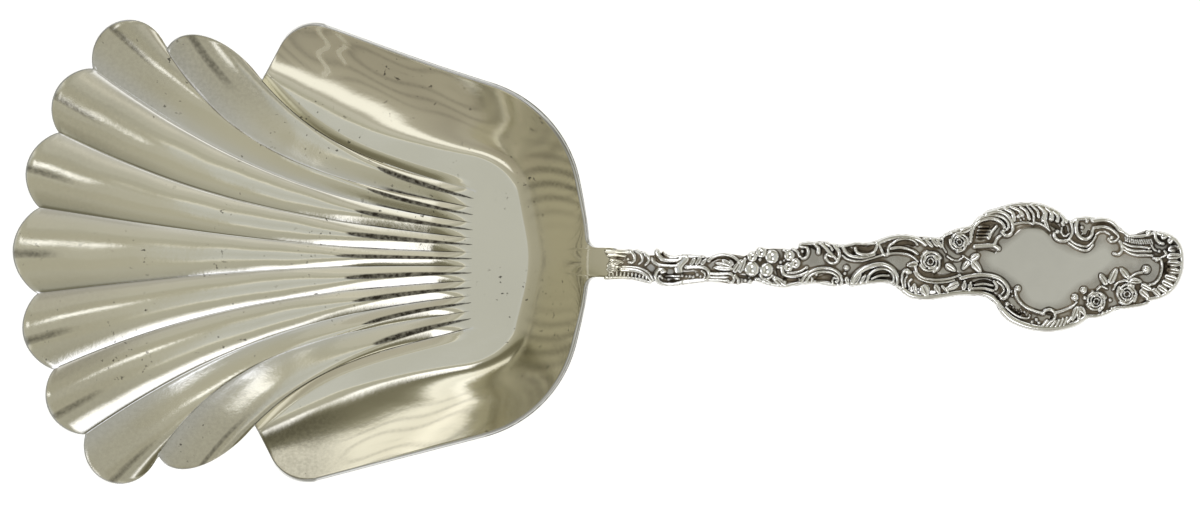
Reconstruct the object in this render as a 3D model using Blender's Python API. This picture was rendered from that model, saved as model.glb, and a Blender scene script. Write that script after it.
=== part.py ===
"""A shell-bowled cracker spoon: a fluted bowl, a scrolled handle and the solder between them.

The spoon lies on a table as it is used, bowl up. The origin is the middle of the flat underside
of the bowl's floor, +X runs along the handle to its tip and +Z is up.
Sizes are in millimetres. In the plan of the bowl, forward is the distance from the neck towards
the front lip and side is the distance from the bowl's middle line.
"""
import math

import bmesh
import bpy
import numpy as np

METRES_PER_MM = 0.001

# Sheet of the bowl and the joint at the neck
SHEET_THICKNESS = 1.0
SOLDER_THICKNESS = 0.2
JOINT_GAP = 0.12
BOWL_YAW_DEGREES = -1.2

# Floor of the bowl: a flat strip behind the ribs
FLOOR_BACK = 13.0
FLOOR_FRONT = 22.0
FLOOR_BACK_RADIUS = 7.0

# Plan of the bowl, from the neck to the front lip and from the middle line to the side
BOWL_LENGTH = 106.7
BOWL_HALF_WIDTH = 43.0

# Heights of the bowl's surface above its floor
FLAT_REACH = 26.0
FRONT_LIP_RISE = 5.0
FLAT_HALF_WIDTH = 12.0
SIDE_RISE = 5.0
BACK_WALL_HEIGHT = 16.0
WING_WALL_HEIGHT = 8.5
WALL_WIDTH = 11.5
WALL_FOOT = 0.28
NECK_BEND = 1.6
NECK_BEND_HALF_WIDTH = 6.0

# Ribs of one half, from the middle flute out to the wing. Each has the side distance of its root, how
# far its notch in the rim lies behind the front lip and inside the bowl's side, and the angles in
# degrees at which it leaves the root and meets the notch.
RIBS = (
    (1.3, (4.8, 35.1), 0.0, 8.0),
    (3.9, (8.1, 21.2), 5.0, 25.0),
    (6.7, (14.1, 9.4), 7.0, 36.0),
    (9.5, (27.5, 6.1), 10.0, 58.0),
    (12.6, (45.0, 11.8), 16.0, 47.0),
)
RIB_PULL = 0.38
RIB_ROOT_HEIGHT = 1.0
RIB_TIP_HEIGHT = 2.6
RIB_ROOT_LENGTH = 3.5
RIB_SHARPEN_LENGTH = 22.0
OUTER_RIB_FOOT = 4.0

# Lobes of the rim from the middle flute outwards: reach past the notches, fullness (0.5 is a half
# circle) and lean (under 1 moves the crest towards the front).
LOBES = (
    (4.8, 0.8, 1.0),
    (4.3, 0.8, 1.0),
    (4.2, 0.75, 1.0),
    (7.4, 0.5, 1.0),
    (4.5, 0.85, 0.65),
)

# Rim of the wings and the back
WING_LENGTH = 55.4
WING_INSET = 0.6
WING_TURN_SHARE = 1.0 / 3.0
WING_CORNER_RADIUS = 6.0
BACK_CORNER = (6.2, 28.3)
BACK_CORNER_RADIUS = 23.0
BACK_MIDDLE = 0.0
BACK_MIDDLE_RADIUS = 44.0

# Tang of the bowl, and the tongue of the handle that lies under it and down the wall
TANG_LENGTH = 4.0
TANG_HALF_WIDTH = 2.7
TANG_FILLET = 2.0
FILLET_ROOM = 0.7
TONGUE_HALF_WIDTH = 2.4
TONGUE_TIP_HALF_WIDTH = 0.8
TONGUE_THICKNESS = 1.3
TONGUE_TIP_THICKNESS = 0.5
TONGUE_DROP = 9.0
TONGUE_BACK_SHARE = 0.55
SOLDER_MARGIN = 0.5

# Handle seen from the side: the height of its face falls in one curve from the neck to the tip
NECK_SLOPE = 0.10
TIP_SLOPE = -0.10
TIP_THICKNESS = 2.0
TIP_CLEARANCE = 0.1

# Handle seen from above: each edge starts at the tang's end and is a row of arcs that meet in cusps.
# Each arc has its length along the handle, the side distance where it ends and its bulge. The near
# edge's last arc runs to where the far edge ends, and a round end closes both.
FAR_EDGE_START = 2.4
PANEL_LENGTH = 16.9
FAR_EDGE = (
    (5.8, 1.5, 0.35),
    (10.7, 0.9, 0.3),
    (7.5, 1.4, 0.5),
    (9.0, 2.3, 0.9),
    (7.6, 3.0, 1.0),
    (7.8, 3.2, 0.6),
    (5.6, 4.2, 0.9),
    (6.2, 4.2, 0.8),
    (7.2, 7.4, 0.6),
    (PANEL_LENGTH, 7.4, 3.4),
    (11.1, 4.8, 2.0),
    (3.1, 6.2, 0.3),
)
NEAR_EDGE_START = -2.8
NEAR_EDGE = (
    (4.0, -2.7, 0.2),
    (13.6, -3.2, 1.1),
    (8.4, -3.5, 0.9),
    (10.6, -3.4, 1.0),
    (13.4, -3.4, 0.9),
    (19.5, -6.5, 1.4),
    (PANEL_LENGTH, -10.3, 4.2),
    (6.8, -8.2, 0.7),
)
NEAR_EDGE_END = -7.0
NEAR_EDGE_END_BULGE = 0.7
ROUND_END_REACH = 6.6
SCALLOP_FULLNESS = 0.8
BORDER_WIDTH = 1.5
BORDER_HEIGHT = 0.5
BORDER_CREST_SHARE = 0.3
FULL_BORDER_AT = 6.0
EDGE_ROUND = 0.45
LEAST_BORDER_SHARE = 0.22

# Finishes
GILT_COLOUR = (0.86, 0.80, 0.62)
GILT_ROUGHNESS = 0.16
SILVER_COLOUR = (0.86, 0.85, 0.82)
SILVER_ROUGHNESS = 0.2
SOLDER_COLOUR = (0.72, 0.71, 0.68)
SOLDER_ROUGHNESS = 0.35

# Fineness of the meshes
RAY_STEPS = 14
RAY_CROWDING = 1.5
FOOT_CROWDING = 1.6
FLUTE_STEPS = 8
ARC_STEPS = 6
RUN_STEPS = 6
RIM_STEPS = 40
CREST_STEPS = 160
FILLET_STEPS = 3
TANG_RAYS = 2
SOLDER_PLACES = 5
TONGUE_PLACES = 7
STATION_SPACING = 1.0
END_STEPS = 7
LEAST_STATION = 0.2
SHARP_EDGE_DEGREES = 40.0


def clear_scene():
    """Remove every object."""
    for item in list(bpy.data.objects):
        bpy.data.objects.remove(item, do_unlink=True)


def metal(name, colour, roughness):
    """A Principled metal."""
    material = bpy.data.materials.new(name)
    material.use_nodes = True
    shader = material.node_tree.nodes["Principled BSDF"]
    shader.inputs["Base Color"].default_value = (*colour, 1.0)
    shader.inputs["Metallic"].default_value = 1.0
    shader.inputs["Roughness"].default_value = roughness
    return material


def solid(name, points, faces, material, parent):
    """A closed body from points in millimetres, shaded smooth between its sharp edges."""
    mesh = bpy.data.meshes.new(name)
    mesh.from_pydata((np.asarray(points) * METRES_PER_MM).tolist(), [], faces)
    body = bmesh.new()
    body.from_mesh(mesh)
    bmesh.ops.recalc_face_normals(body, faces=body.faces)
    body.to_mesh(mesh)
    body.free()
    mesh.polygons.foreach_set("use_smooth", [True] * len(mesh.polygons))
    mesh.set_sharp_from_angle(angle=math.radians(SHARP_EDGE_DEGREES))
    mesh.materials.append(material)
    item = bpy.data.objects.new(name, mesh)
    bpy.context.scene.collection.objects.link(item)
    item.parent = parent
    return item


def blend(first, last, share):
    """The value a share of the way from first to last."""
    return first + (last - first) * share


def rounded_path(corners, arc_steps, run_steps):
    """Points along straight runs joined by arcs. Each corner is a point and its radius."""
    points = [np.array(place, float) for place, radius in corners]
    path = [points[0]]
    for index in range(1, len(points) - 1):
        corner = points[index]
        back = (points[index - 1] - corner) / np.linalg.norm(points[index - 1] - corner)
        ahead = (points[index + 1] - corner) / np.linalg.norm(points[index + 1] - corner)
        half_angle = math.acos(float(back @ ahead)) / 2
        radius = corners[index][1]
        middle = (back + ahead) / np.linalg.norm(back + ahead)
        centre = corner + middle * radius / math.sin(half_angle)
        start = corner + back * radius / math.tan(half_angle)
        path += run(path[-1], start, run_steps)
        turn = math.pi - 2 * half_angle
        first = start - centre
        sign = 1.0 if back[0] * ahead[1] - back[1] * ahead[0] < 0 else -1.0
        for step in range(1, arc_steps + 1):
            angle = sign * turn * step / arc_steps
            cosine, sine = math.cos(angle), math.sin(angle)
            path.append(centre + (first[0] * cosine - first[1] * sine, first[0] * sine + first[1] * cosine))
    path += run(path[-1], points[-1], run_steps)
    return np.array(path)


def run(first, last, steps):
    """Points of a straight run, without its first."""
    return [blend(first, last, step / steps) for step in range(1, steps + 1)]


def mirrored(point):
    """The same place on the other side of the bowl's middle line."""
    return (point[0], -point[1])


def notch(rib):
    """Place of the notch that a rib meets the rim in."""
    setback, inset = rib[1]
    return (BOWL_LENGTH - setback, BOWL_HALF_WIDTH - inset)


def wing_corner():
    """Place where the wing's front edge and the bowl's side would meet if they were not rounded."""
    return (WING_LENGTH, BOWL_HALF_WIDTH - WING_INSET)


def wall_rim():
    """The rim that the wall climbs to: both sides, run on straight past the wings, and the back."""
    side_run = np.subtract(wing_corner(), BACK_CORNER)
    far = tuple(np.add(wing_corner(), side_run))
    corners = (
        (far, 0.0),
        (BACK_CORNER, BACK_CORNER_RADIUS),
        ((BACK_MIDDLE, 0.0), BACK_MIDDLE_RADIUS),
        (mirrored(BACK_CORNER), BACK_CORNER_RADIUS),
        (mirrored(far), 0.0),
    )
    return rounded_path(corners, RIM_STEPS, RIM_STEPS)


def distance_inside(rim, plan):
    """Distance of each plan point from the rim, positive inside the bowl."""
    first = rim[:-1]
    edge = rim[1:] - first
    offset = plan[..., None, :] - first
    share = np.clip((offset * edge).sum(-1) / (edge * edge).sum(-1), 0.0, 1.0)
    gap = offset - share[..., None] * edge
    length = np.linalg.norm(gap, axis=-1)
    nearest = length.argmin(-1)[..., None]
    cross = edge[:, 0] * offset[..., 1] - edge[:, 1] * offset[..., 0]
    sign = np.sign(np.take_along_axis(cross, nearest, -1))
    return (np.take_along_axis(length, nearest, -1) * sign)[..., 0]


def dish_height(plan):
    """Rise of the bowl towards its front lip and its sides."""
    reach = np.hypot(plan[..., 0] - FLOOR_FRONT, plan[..., 1])
    front = np.clip((reach - FLAT_REACH) / (BOWL_LENGTH - FLOOR_FRONT - FLAT_REACH), 0.0, None)
    beside = (np.abs(plan[..., 1]) - FLAT_HALF_WIDTH) / (BOWL_HALF_WIDTH - FLAT_HALF_WIDTH)
    return FRONT_LIP_RISE * front ** 2 + SIDE_RISE * np.clip(beside, 0.0, None) ** 2


def wall_height(plan, rim):
    """Rise of the wall at the back and in the wings, levelling off where the tang leaves it."""
    inside = distance_inside(rim, plan)
    bend = NECK_BEND * np.exp(-(plan[..., 1] / NECK_BEND_HALF_WIDTH) ** 2)
    eased = (inside + np.sqrt(inside ** 2 + bend ** 2)) / 2
    climb = np.clip(1.0 - eased / WALL_WIDTH, 0.0, 1.0)
    share = np.hypot(climb, WALL_FOOT) - WALL_FOOT
    full = blend(BACK_WALL_HEIGHT, WING_WALL_HEIGHT, plan[..., 0] / WING_LENGTH)
    return full * share / (math.hypot(1.0, WALL_FOOT) - WALL_FOOT)


def curve(start, end, start_angle, end_angle, shares):
    """A plan curve that leaves start and meets end at the given angles in degrees."""
    pull = RIB_PULL * math.dist(start, end)
    leave = np.array((math.cos(math.radians(start_angle)), math.sin(math.radians(start_angle))))
    meet = np.array((math.cos(math.radians(end_angle)), math.sin(math.radians(end_angle))))
    shares = shares[:, None]
    rest = 1.0 - shares
    near = np.add(start, pull * leave)
    far = np.subtract(end, pull * meet)
    bowed = 3 * rest * shares * (rest * near + shares * far)
    return rest ** 3 * np.array(start) + bowed + shares ** 3 * np.array(end)


def ray_shares(crowding):
    """Places of the points along a ray, crowded towards its start."""
    return (np.arange(RAY_STEPS + 1) / RAY_STEPS) ** crowding


def rib_height(travel, length):
    """Height of a rib's crest a distance from its root: a rounded end, then a steady rise."""
    ending = np.clip(1.0 - travel / RIB_ROOT_LENGTH, 0.0, 1.0)
    return RIB_ROOT_HEIGHT * np.sqrt(1.0 - ending ** 2) + (RIB_TIP_HEIGHT - RIB_ROOT_HEIGHT) * travel / length


def rib_share(across, travel):
    """Share of a rib's height at across, 0 in a flute's middle and 1 on a crest."""
    sharp = np.clip(travel / RIB_SHARPEN_LENGTH, 0.0, 1.0)
    return blend(math.sin(math.pi / 2 * across) ** 2, across ** 2, sharp)


def flute_rays():
    """Plan and rib relief of the rays in the flutes of one half, from the middle flute to the wing."""
    plans, reliefs = [], []
    half = [(root, notch((root, place)), leave, meet) for root, place, leave, meet in RIBS]
    root, place, leave, meet = half[0]
    ribs = [(-root, mirrored(place), -leave, -meet)] + half
    for index, (reach, fullness, lean) in enumerate(LOBES):
        inner, outer = ribs[index:index + 2]
        chord = np.subtract(outer[1], inner[1])
        outward = np.array((chord[1], -chord[0])) / np.linalg.norm(chord)
        first_step = 1 if index else FLUTE_STEPS // 2
        for step in range(first_step, FLUTE_STEPS + 1):
            share = (1 - math.cos(math.pi * step / FLUTE_STEPS)) / 2
            leaning = share ** lean
            bulge = reach * max(4 * leaning * (1 - leaning), 0.0) ** fullness
            start = (FLOOR_FRONT, blend(inner[0], outer[0], share))
            end = np.add(inner[1], chord * share) + outward * bulge
            angles = [blend(inner[which], outer[which], share) for which in (2, 3)]
            plan = curve(start, end, *angles, ray_shares(RAY_CROWDING))
            travel = np.linalg.norm(plan - plan[0], axis=1)
            plans.append(plan)
            reliefs.append(rib_height(travel, travel[-1]) * rib_share(abs(2 * share - 1), travel))
    return plans, reliefs


def wing_rim():
    """Rim of one half from the notch beside the wing, round the wing and the back, to the tang's end."""
    corners = (
        (notch(RIBS[-1]), 0.0),
        (wing_corner(), WING_CORNER_RADIUS),
        (BACK_CORNER, BACK_CORNER_RADIUS),
        ((BACK_MIDDLE, 0.0), BACK_MIDDLE_RADIUS),
        (mirrored(BACK_CORNER), 0.0),
    )
    path = rounded_path(corners, ARC_STEPS, RUN_STEPS)
    fillet_start = TANG_HALF_WIDTH + TANG_FILLET
    kept = path[1:][path[1:, 1] > fillet_start + FILLET_ROOM]
    back = float(np.interp(fillet_start, path[::-1, 1], path[::-1, 0]))
    fillet = []
    for step in range(FILLET_STEPS + 1):
        angle = math.pi / 2 * step / FILLET_STEPS
        drop = TANG_FILLET * (1 - math.sin(angle))
        fillet.append((back - TANG_FILLET * (1 - math.cos(angle)), TANG_HALF_WIDTH + drop))
    end = [(-TANG_LENGTH, TANG_HALF_WIDTH * ray / TANG_RAYS) for ray in range(TANG_RAYS, -1, -1)]
    return np.array([*map(tuple, kept), *fillet, *end])


def wing_rays():
    """Plan and rib relief of the rays from the outermost rib round the wing to the back's middle."""
    ends = wing_rim()
    foot = rounded_path((
        ((FLOOR_FRONT, RIBS[-1][0]), 0.0),
        ((FLOOR_BACK, RIBS[-1][0]), FLOOR_BACK_RADIUS),
        ((FLOOR_BACK, 0.0), 0.0),
    ), RIM_STEPS, RIM_STEPS)
    walked = np.concatenate(([0.0], np.cumsum(np.linalg.norm(np.diff(foot, axis=0), axis=1))))
    leave, meet = RIBS[-1][2:]
    crest = curve(foot[0], notch(RIBS[-1]), leave, meet, np.linspace(0.0, 1.0, CREST_STEPS))
    crest_travel = np.linalg.norm(crest - crest[0], axis=1)
    crest_height = rib_height(crest_travel, crest_travel[-1])
    plans, reliefs = [], []
    for index, end in enumerate(ends):
        share = (index + 1) / len(ends)
        gone = walked[-1] * share ** FOOT_CROWDING
        start = np.array((np.interp(gone, walked, foot[:, 0]), np.interp(gone, walked, foot[:, 1])))
        chord = np.subtract(end, start)
        straight = math.degrees(math.atan2(chord[1], chord[0]))
        turned = min(1.0, share / WING_TURN_SHARE)
        angles = (blend(leave, straight, turned), blend(meet, straight, turned))
        plan = curve(start, end, *angles, ray_shares(blend(RAY_CROWDING, 1.0, turned)))
        gaps = np.linalg.norm(plan[:, None] - crest, axis=2)
        nearest = gaps.argmin(1)
        slope = np.clip(1.0 - gaps.min(1) / OUTER_RIB_FOOT, 0.0, 1.0) ** 2
        plans.append(plan)
        reliefs.append(crest_height[nearest] * slope)
    return plans, reliefs


def bowl_grid():
    """Top surface of the bowl as a ring of rays, with the direction that the sheet is thick in.

    The ring starts at the front middle, runs round one half to the back middle and back along the
    other half. Returns the points, the unit directions and the index of the back's middle ray.
    """
    rim = wall_rim()
    flute_plans, flute_reliefs = flute_rays()
    wing_plans, wing_reliefs = wing_rays()
    flute = np.array(flute_plans)
    wing = np.array(wing_plans)
    plan = np.concatenate((flute, wing))
    base = dish_height(plan)
    base[len(flute):] += wall_height(wing, rim)
    relief = np.array(flute_reliefs + wing_reliefs)
    half = np.dstack((-plan[..., 0], plan[..., 1], SHEET_THICKNESS + base))
    back = len(half) - 1
    ring = np.concatenate((half, half[-2:0:-1] * (1.0, -1.0, 1.0)))
    lift = np.concatenate((relief, relief[-2:0:-1]))
    along = np.gradient(ring, axis=1)
    around = np.roll(ring, -1, axis=0) - np.roll(ring, 1, axis=0)
    up = np.cross(around, along)
    up /= np.linalg.norm(up, axis=2, keepdims=True)
    up *= np.sign(up[..., 2:])
    up[:, 0] = (0.0, 0.0, 1.0)
    ring[..., 2] += lift
    return ring, up, back


def ring_faces(rays, steps, first):
    """Quads of a ring of rays whose points are numbered from first, ray by ray."""
    faces = []
    for ray in range(rays):
        following = (ray + 1) % rays
        for step in range(steps):
            corner = first + ray * (steps + 1) + step
            beside = first + following * (steps + 1) + step
            faces.append((corner, corner + 1, beside + 1, beside))
    return faces


def make_bowl(grid, material, parent):
    """The struck bowl: the ring of rays, its underside, the rim and the flat floor."""
    top, up = grid[:2]
    rays, columns = top.shape[:2]
    under = top - SHEET_THICKNESS * up
    points = np.concatenate((top.reshape(-1, 3), under.reshape(-1, 3)))
    below = rays * columns
    faces = ring_faces(rays, columns - 1, 0) + ring_faces(rays, columns - 1, below)
    for ray in range(rays):
        outer = ray * columns + columns - 1
        beside = (ray + 1) % rays * columns + columns - 1
        faces.append((outer, beside, below + beside, below + outer))
    floor = [ray * columns for ray in range(rays)]
    faces.append(tuple(floor))
    faces.append(tuple(below + corner for corner in floor))
    return solid("bowl", points, faces, material, parent)


def strip_at(grid, step, depth, places):
    """Points a depth under the bowl's top at one step of the tang's rays, at the given side distances."""
    top, up, back = grid
    sheet = top[:, step] - depth * up[:, step]
    reach = top[back - TANG_RAYS, step, 1]
    points = []
    for place in places:
        ray = TANG_RAYS * min(max(place / reach, -1.0), 1.0)
        near = math.floor(ray)
        beyond = math.ceil(ray)
        points.append(blend(sheet[back - near], sheet[back - beyond], ray - near))
    return np.array(points)


def drop_steps(grid):
    """Steps of the back's middle ray from the tongue's tip to the tang's end, with the share gone."""
    top, back = grid[0], grid[2]
    height = top[back, :, 2]
    lowest = height[-1] - TONGUE_DROP
    steps = [step for step in range(RAY_STEPS + 1) if height[step] >= lowest]
    return [(step, index / (len(steps) - 1)) for index, step in enumerate(steps)]


def tongue_half_width(share):
    """Half width of the tongue, from its rounded tip to the neck."""
    return blend(TONGUE_TIP_HALF_WIDTH, TONGUE_HALF_WIDTH, math.sin(math.pi / 2 * share))


def loft(sections):
    """Faces of a closed tube through sections of equal length, with flat ends."""
    size = len(sections[0])
    faces = ring_faces_open(len(sections), size)
    faces.append(tuple(range(size)))
    faces.append(tuple((len(sections) - 1) * size + corner for corner in range(size)))
    return np.concatenate(sections), faces


def ring_faces_open(count, size):
    """Quads between neighbouring sections."""
    faces = []
    for section in range(count - 1):
        for corner in range(size):
            near = section * size + corner
            beside = section * size + (corner + 1) % size
            faces.append((near, beside, beside + size, near + size))
    return faces


def make_solder(grid, material, parent):
    """The film of solder between the bowl and the tongue, a little wider than the tongue."""
    shallow = SHEET_THICKNESS + JOINT_GAP
    deep = shallow + SOLDER_THICKNESS
    across = np.linspace(1.0, -1.0, SOLDER_PLACES)
    sections = []
    for step, share in drop_steps(grid):
        width = min(tongue_half_width(share) + SOLDER_MARGIN, TANG_HALF_WIDTH)
        upper = strip_at(grid, step, shallow, across * width)
        lower = strip_at(grid, step, deep, across[::-1] * width)
        sections.append(np.concatenate((upper, lower)))
    return solid("solder_seam", *loft(sections), material, parent)


def far_cusps():
    """Cusps of the handle's far edge: place along the handle, side distance and bulge of the arc before."""
    cusps = [(TANG_LENGTH, FAR_EDGE_START, 0.0)]
    for length, side, bulge in FAR_EDGE:
        cusps.append((cusps[-1][0] + length, side, bulge))
    return cusps


def near_cusps():
    """Cusps of the handle's near edge, which ends where the far edge does."""
    cusps = [(TANG_LENGTH, NEAR_EDGE_START, 0.0)]
    for length, side, bulge in NEAR_EDGE:
        cusps.append((cusps[-1][0] + length, side, -bulge))
    cusps.append((far_cusps()[-1][0], NEAR_EDGE_END, -NEAR_EDGE_END_BULGE))
    return cusps


def tip_place():
    """Distance of the handle's tip from the neck."""
    return far_cusps()[-1][0] + ROUND_END_REACH


def edge_at(x, cusps):
    """Side distance at x of an edge with the given cusps, and of the round end past the last one."""
    end_x, end_side = cusps[-1][:2]
    if x >= end_x:
        middle = (far_cusps()[-1][1] + near_cusps()[-1][1]) / 2
        share = min((x - end_x) / ROUND_END_REACH, 1.0)
        return middle + (end_side - middle) * math.sqrt(1.0 - share ** 2)
    for (last_x, last_side, last_bulge), (cusp_x, cusp_side, bulge) in zip(cusps, cusps[1:]):
        if x <= cusp_x:
            share = max((x - last_x) / (cusp_x - last_x), 0.0)
            return blend(last_side, cusp_side, share) + bulge * (4 * share * (1 - share)) ** SCALLOP_FULLNESS
    return end_side


def face_height(x, neck_height):
    """Height of the handle's face: a cubic from the neck's height and slope to the tip's."""
    tip_height = TIP_THICKNESS + TIP_CLEARANCE
    length = tip_place() - TANG_LENGTH
    share = (x - TANG_LENGTH) / length
    rise = share ** 2 * (3 - 2 * share)
    bow = length * share * (1 - share) * (NECK_SLOPE * (1 - share) - TIP_SLOPE * share)
    return blend(neck_height, tip_height, rise) + bow


def handle_section(x, neck_height, neck_depth):
    """Section of the handle at x: a raised border on each edge, a sunk face and a rounded back."""
    far = edge_at(x, far_cusps())
    near = edge_at(x, near_cusps())
    width = far - near
    border = min(BORDER_WIDTH, LEAST_BORDER_SHARE * width)
    face = face_height(x, neck_height)
    share = (x - TANG_LENGTH) / (tip_place() - TANG_LENGTH)
    back = face - blend(neck_depth, TIP_THICKNESS, share)
    crest = BORDER_HEIGHT * min(1.0, width / FULL_BORDER_AT)
    outline = (
        (far, face - EDGE_ROUND),
        (far - BORDER_CREST_SHARE * border, face + crest),
        (far - border, face),
        ((far + near) / 2, face),
        (near + border, face),
        (near + BORDER_CREST_SHARE * border, face + crest),
        (near, face - EDGE_ROUND),
        (near, back + EDGE_ROUND),
        (near + LEAST_BORDER_SHARE * width, back),
        (far - LEAST_BORDER_SHARE * width, back),
        (far, back + EDGE_ROUND),
    )
    return np.array([(x, y, z) for y, z in outline])


def handle_stations():
    """Places of the handle's sections: at every cusp, evenly between, and closer round the end."""
    start = TANG_LENGTH + JOINT_GAP
    cusps = [cusp[0] for cusp in far_cusps()[1:] + near_cusps()[1:-1]]
    end_x = max(cusps)
    count = math.ceil((end_x - start) / STATION_SPACING)
    even = [blend(start, end_x, step / count) for step in range(count + 1)]
    filler = [x for x in even if min(abs(x - cusp) for cusp in cusps) > LEAST_STATION or x == start]
    places = sorted(filler + cusps)
    body = [places[0]]
    for x in places[1:]:
        if x - body[-1] > LEAST_STATION:
            body.append(x)
    quarter = math.pi / 2 / (END_STEPS + 1)
    return body + [end_x + ROUND_END_REACH * math.sin(quarter * step) for step in range(1, END_STEPS + 1)]


def make_handle(grid, material, parent):
    """The struck handle with the tongue that follows the bowl's wall and tang."""
    top, back = grid[0], grid[2]
    inner = SHEET_THICKNESS + 2 * JOINT_GAP + SOLDER_THICKNESS
    yaw = math.radians(BOWL_YAW_DEGREES)
    cosine, sine = math.cos(yaw), math.sin(yaw)
    turn = np.array(((cosine, sine, 0.0), (-sine, cosine, 0.0), (0.0, 0.0, 1.0)))
    face_places = np.linspace(1.0, -1.0, TONGUE_PLACES)
    back_places = np.array((-1.0, -TONGUE_BACK_SHARE, TONGUE_BACK_SHARE, 1.0))
    sections = []
    for step, share in drop_steps(grid):
        width = tongue_half_width(share)
        thickness = blend(TONGUE_TIP_THICKNESS, TONGUE_THICKNESS, share)
        face = strip_at(grid, step, inner, face_places * width)
        outer = strip_at(grid, step, inner + thickness, back_places * width)
        sections.append(np.concatenate((face, outer)) @ turn)
    neck_height = top[back, -1, 2]
    neck_depth = inner + TONGUE_THICKNESS
    sections += [handle_section(x, neck_height, neck_depth) for x in handle_stations()]
    return solid("handle", *loft(sections), material, parent)


def make_spoon():
    """Build the three pieces under one empty that stands on the floor's underside."""
    clear_scene()
    spoon = bpy.data.objects.new("spoon", None)
    bpy.context.scene.collection.objects.link(spoon)
    gilt = metal("gilt_silver", GILT_COLOUR, GILT_ROUGHNESS)
    silver = metal("silver", SILVER_COLOUR, SILVER_ROUGHNESS)
    solder = metal("silver_solder", SOLDER_COLOUR, SOLDER_ROUGHNESS)
    grid = bowl_grid()
    yaw = math.radians(BOWL_YAW_DEGREES)
    floor_middle = (FLOOR_BACK + FLOOR_FRONT) / 2 * METRES_PER_MM
    neck = (floor_middle * math.cos(yaw), floor_middle * math.sin(yaw), 0.0)
    for make, material, turned in (
        (make_bowl, gilt, yaw),
        (make_solder, solder, yaw),
        (make_handle, silver, 0.0),
    ):
        piece = make(grid, material, spoon)
        piece.location = neck
        piece.rotation_euler = (0.0, 0.0, turned)


make_spoon()
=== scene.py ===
"""Looks of a shell-bowled cracker spoon, laid out as a Blender add-on.

The bowl is struck sheet silver, gilt inside. The handle is struck silver with scrolls, leaves and
roses standing on a sunk ground, and oxide left dark in its hollows. Solder joins the two at the neck.
Plans and heights are in millimetres, measured from the neck: forward and side in the bowl, along and
side on the handle. Properties and meshes are in metres.
"""
import math

import bpy
import numpy as np
from bpy.props import FloatProperty, FloatVectorProperty, IntProperty, PointerProperty
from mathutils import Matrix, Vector
from mathutils.geometry import delaunay_2d_cdt


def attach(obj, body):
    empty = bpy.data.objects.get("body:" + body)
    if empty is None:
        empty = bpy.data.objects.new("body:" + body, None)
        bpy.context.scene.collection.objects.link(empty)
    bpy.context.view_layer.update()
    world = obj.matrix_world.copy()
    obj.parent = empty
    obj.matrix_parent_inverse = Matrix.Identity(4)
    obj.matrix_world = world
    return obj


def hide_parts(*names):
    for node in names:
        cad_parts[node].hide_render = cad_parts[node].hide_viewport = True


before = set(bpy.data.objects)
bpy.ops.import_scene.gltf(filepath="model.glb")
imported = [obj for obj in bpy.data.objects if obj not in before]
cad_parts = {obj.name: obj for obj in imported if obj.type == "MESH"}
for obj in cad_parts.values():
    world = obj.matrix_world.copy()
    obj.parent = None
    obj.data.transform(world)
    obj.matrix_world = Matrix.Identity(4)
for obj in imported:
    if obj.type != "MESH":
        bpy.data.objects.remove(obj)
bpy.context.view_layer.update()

bl_info = {
    "name": "Cracker Spoon",
    "version": (1, 0, 0),
    "blender": (4, 5, 0),
    "location": "View3D > Sidebar > Spoon",
    "description": "Builds a gilt-bowled silver cracker spoon and its stage",
    "category": "Object",
}

MM = 0.001
MIRROR = (1.0, -1.0, 1.0)

# Neck: where the bowl and the handle are measured from, and how far the bowl is turned there
BOWL_YAW = math.radians(-1.2)
FLOOR_BACK = 13.0
FLOOR_FRONT = 22.0
FLOOR_BACK_RADIUS = 7.0
NECK = np.array((math.cos(BOWL_YAW), math.sin(BOWL_YAW), 0.0)) * (FLOOR_BACK + FLOOR_FRONT) / 2

# Plan of the bowl
BOWL_LENGTH = 106.7
BOWL_HALF_WIDTH = 43.0
WING_LENGTH = 55.4
WING_INSET = 0.6
WING_TURN_SHARE = 1.0 / 3.0
WING_CORNER_RADIUS = 7.5
FAR_WING_SPRING = 1.5
FAR_WING_SPRING_LENGTH = 22.0
BACK_CORNER = (6.2, 28.3)
BACK_CORNER_RADIUS = 23.0
BACK_MIDDLE_RADIUS = 44.0
TANG_LENGTH = 4.0
TANG_HALF_WIDTH = 2.7
TANG_FILLET = 2.0
FILLET_ROOM = 0.7

# Heights of the bowl's surface above its floor
FLAT_REACH = 26.0
FRONT_LIP_RISE = 5.0
FLAT_HALF_WIDTH = 12.6
SIDE_RISE = 1.0
BACK_WALL_HEIGHT = 16.0
WING_WALL_HEIGHT = 7.0
WING_WALL_SAG = 0.6
WALL_WIDTH = 11.5
WING_WALL_EXTRA_WIDTH = 4.5
WING_WIDE_FROM = 26.0
BACK_WALL_FOOT = 0.30
WING_WALL_FOOT = 0.38
WING_FOOT_FULL_AT = 0.5
NECK_BEND = 3.0
NECK_BEND_HALF_WIDTH = 6.0

# Planishing marks: wave lengths, start and bend of the broad marks, and the same of the small ones
MARK_FORWARD = 3.1
MARK_SIDE = 2.9
MARK_START = 0.8
MARK_BEND = 1.3
MARK_BEND_LENGTH = 4.7
SMALL_MARK_SHARE = 0.6
SMALL_MARK_FORWARD = 1.9
SMALL_MARK_SIDE = 2.3
SMALL_MARK_BEND = 2.0
SMALL_MARK_BEND_LENGTH = 9.0
MARKS_FULL_FROM_STEP = 12

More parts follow.
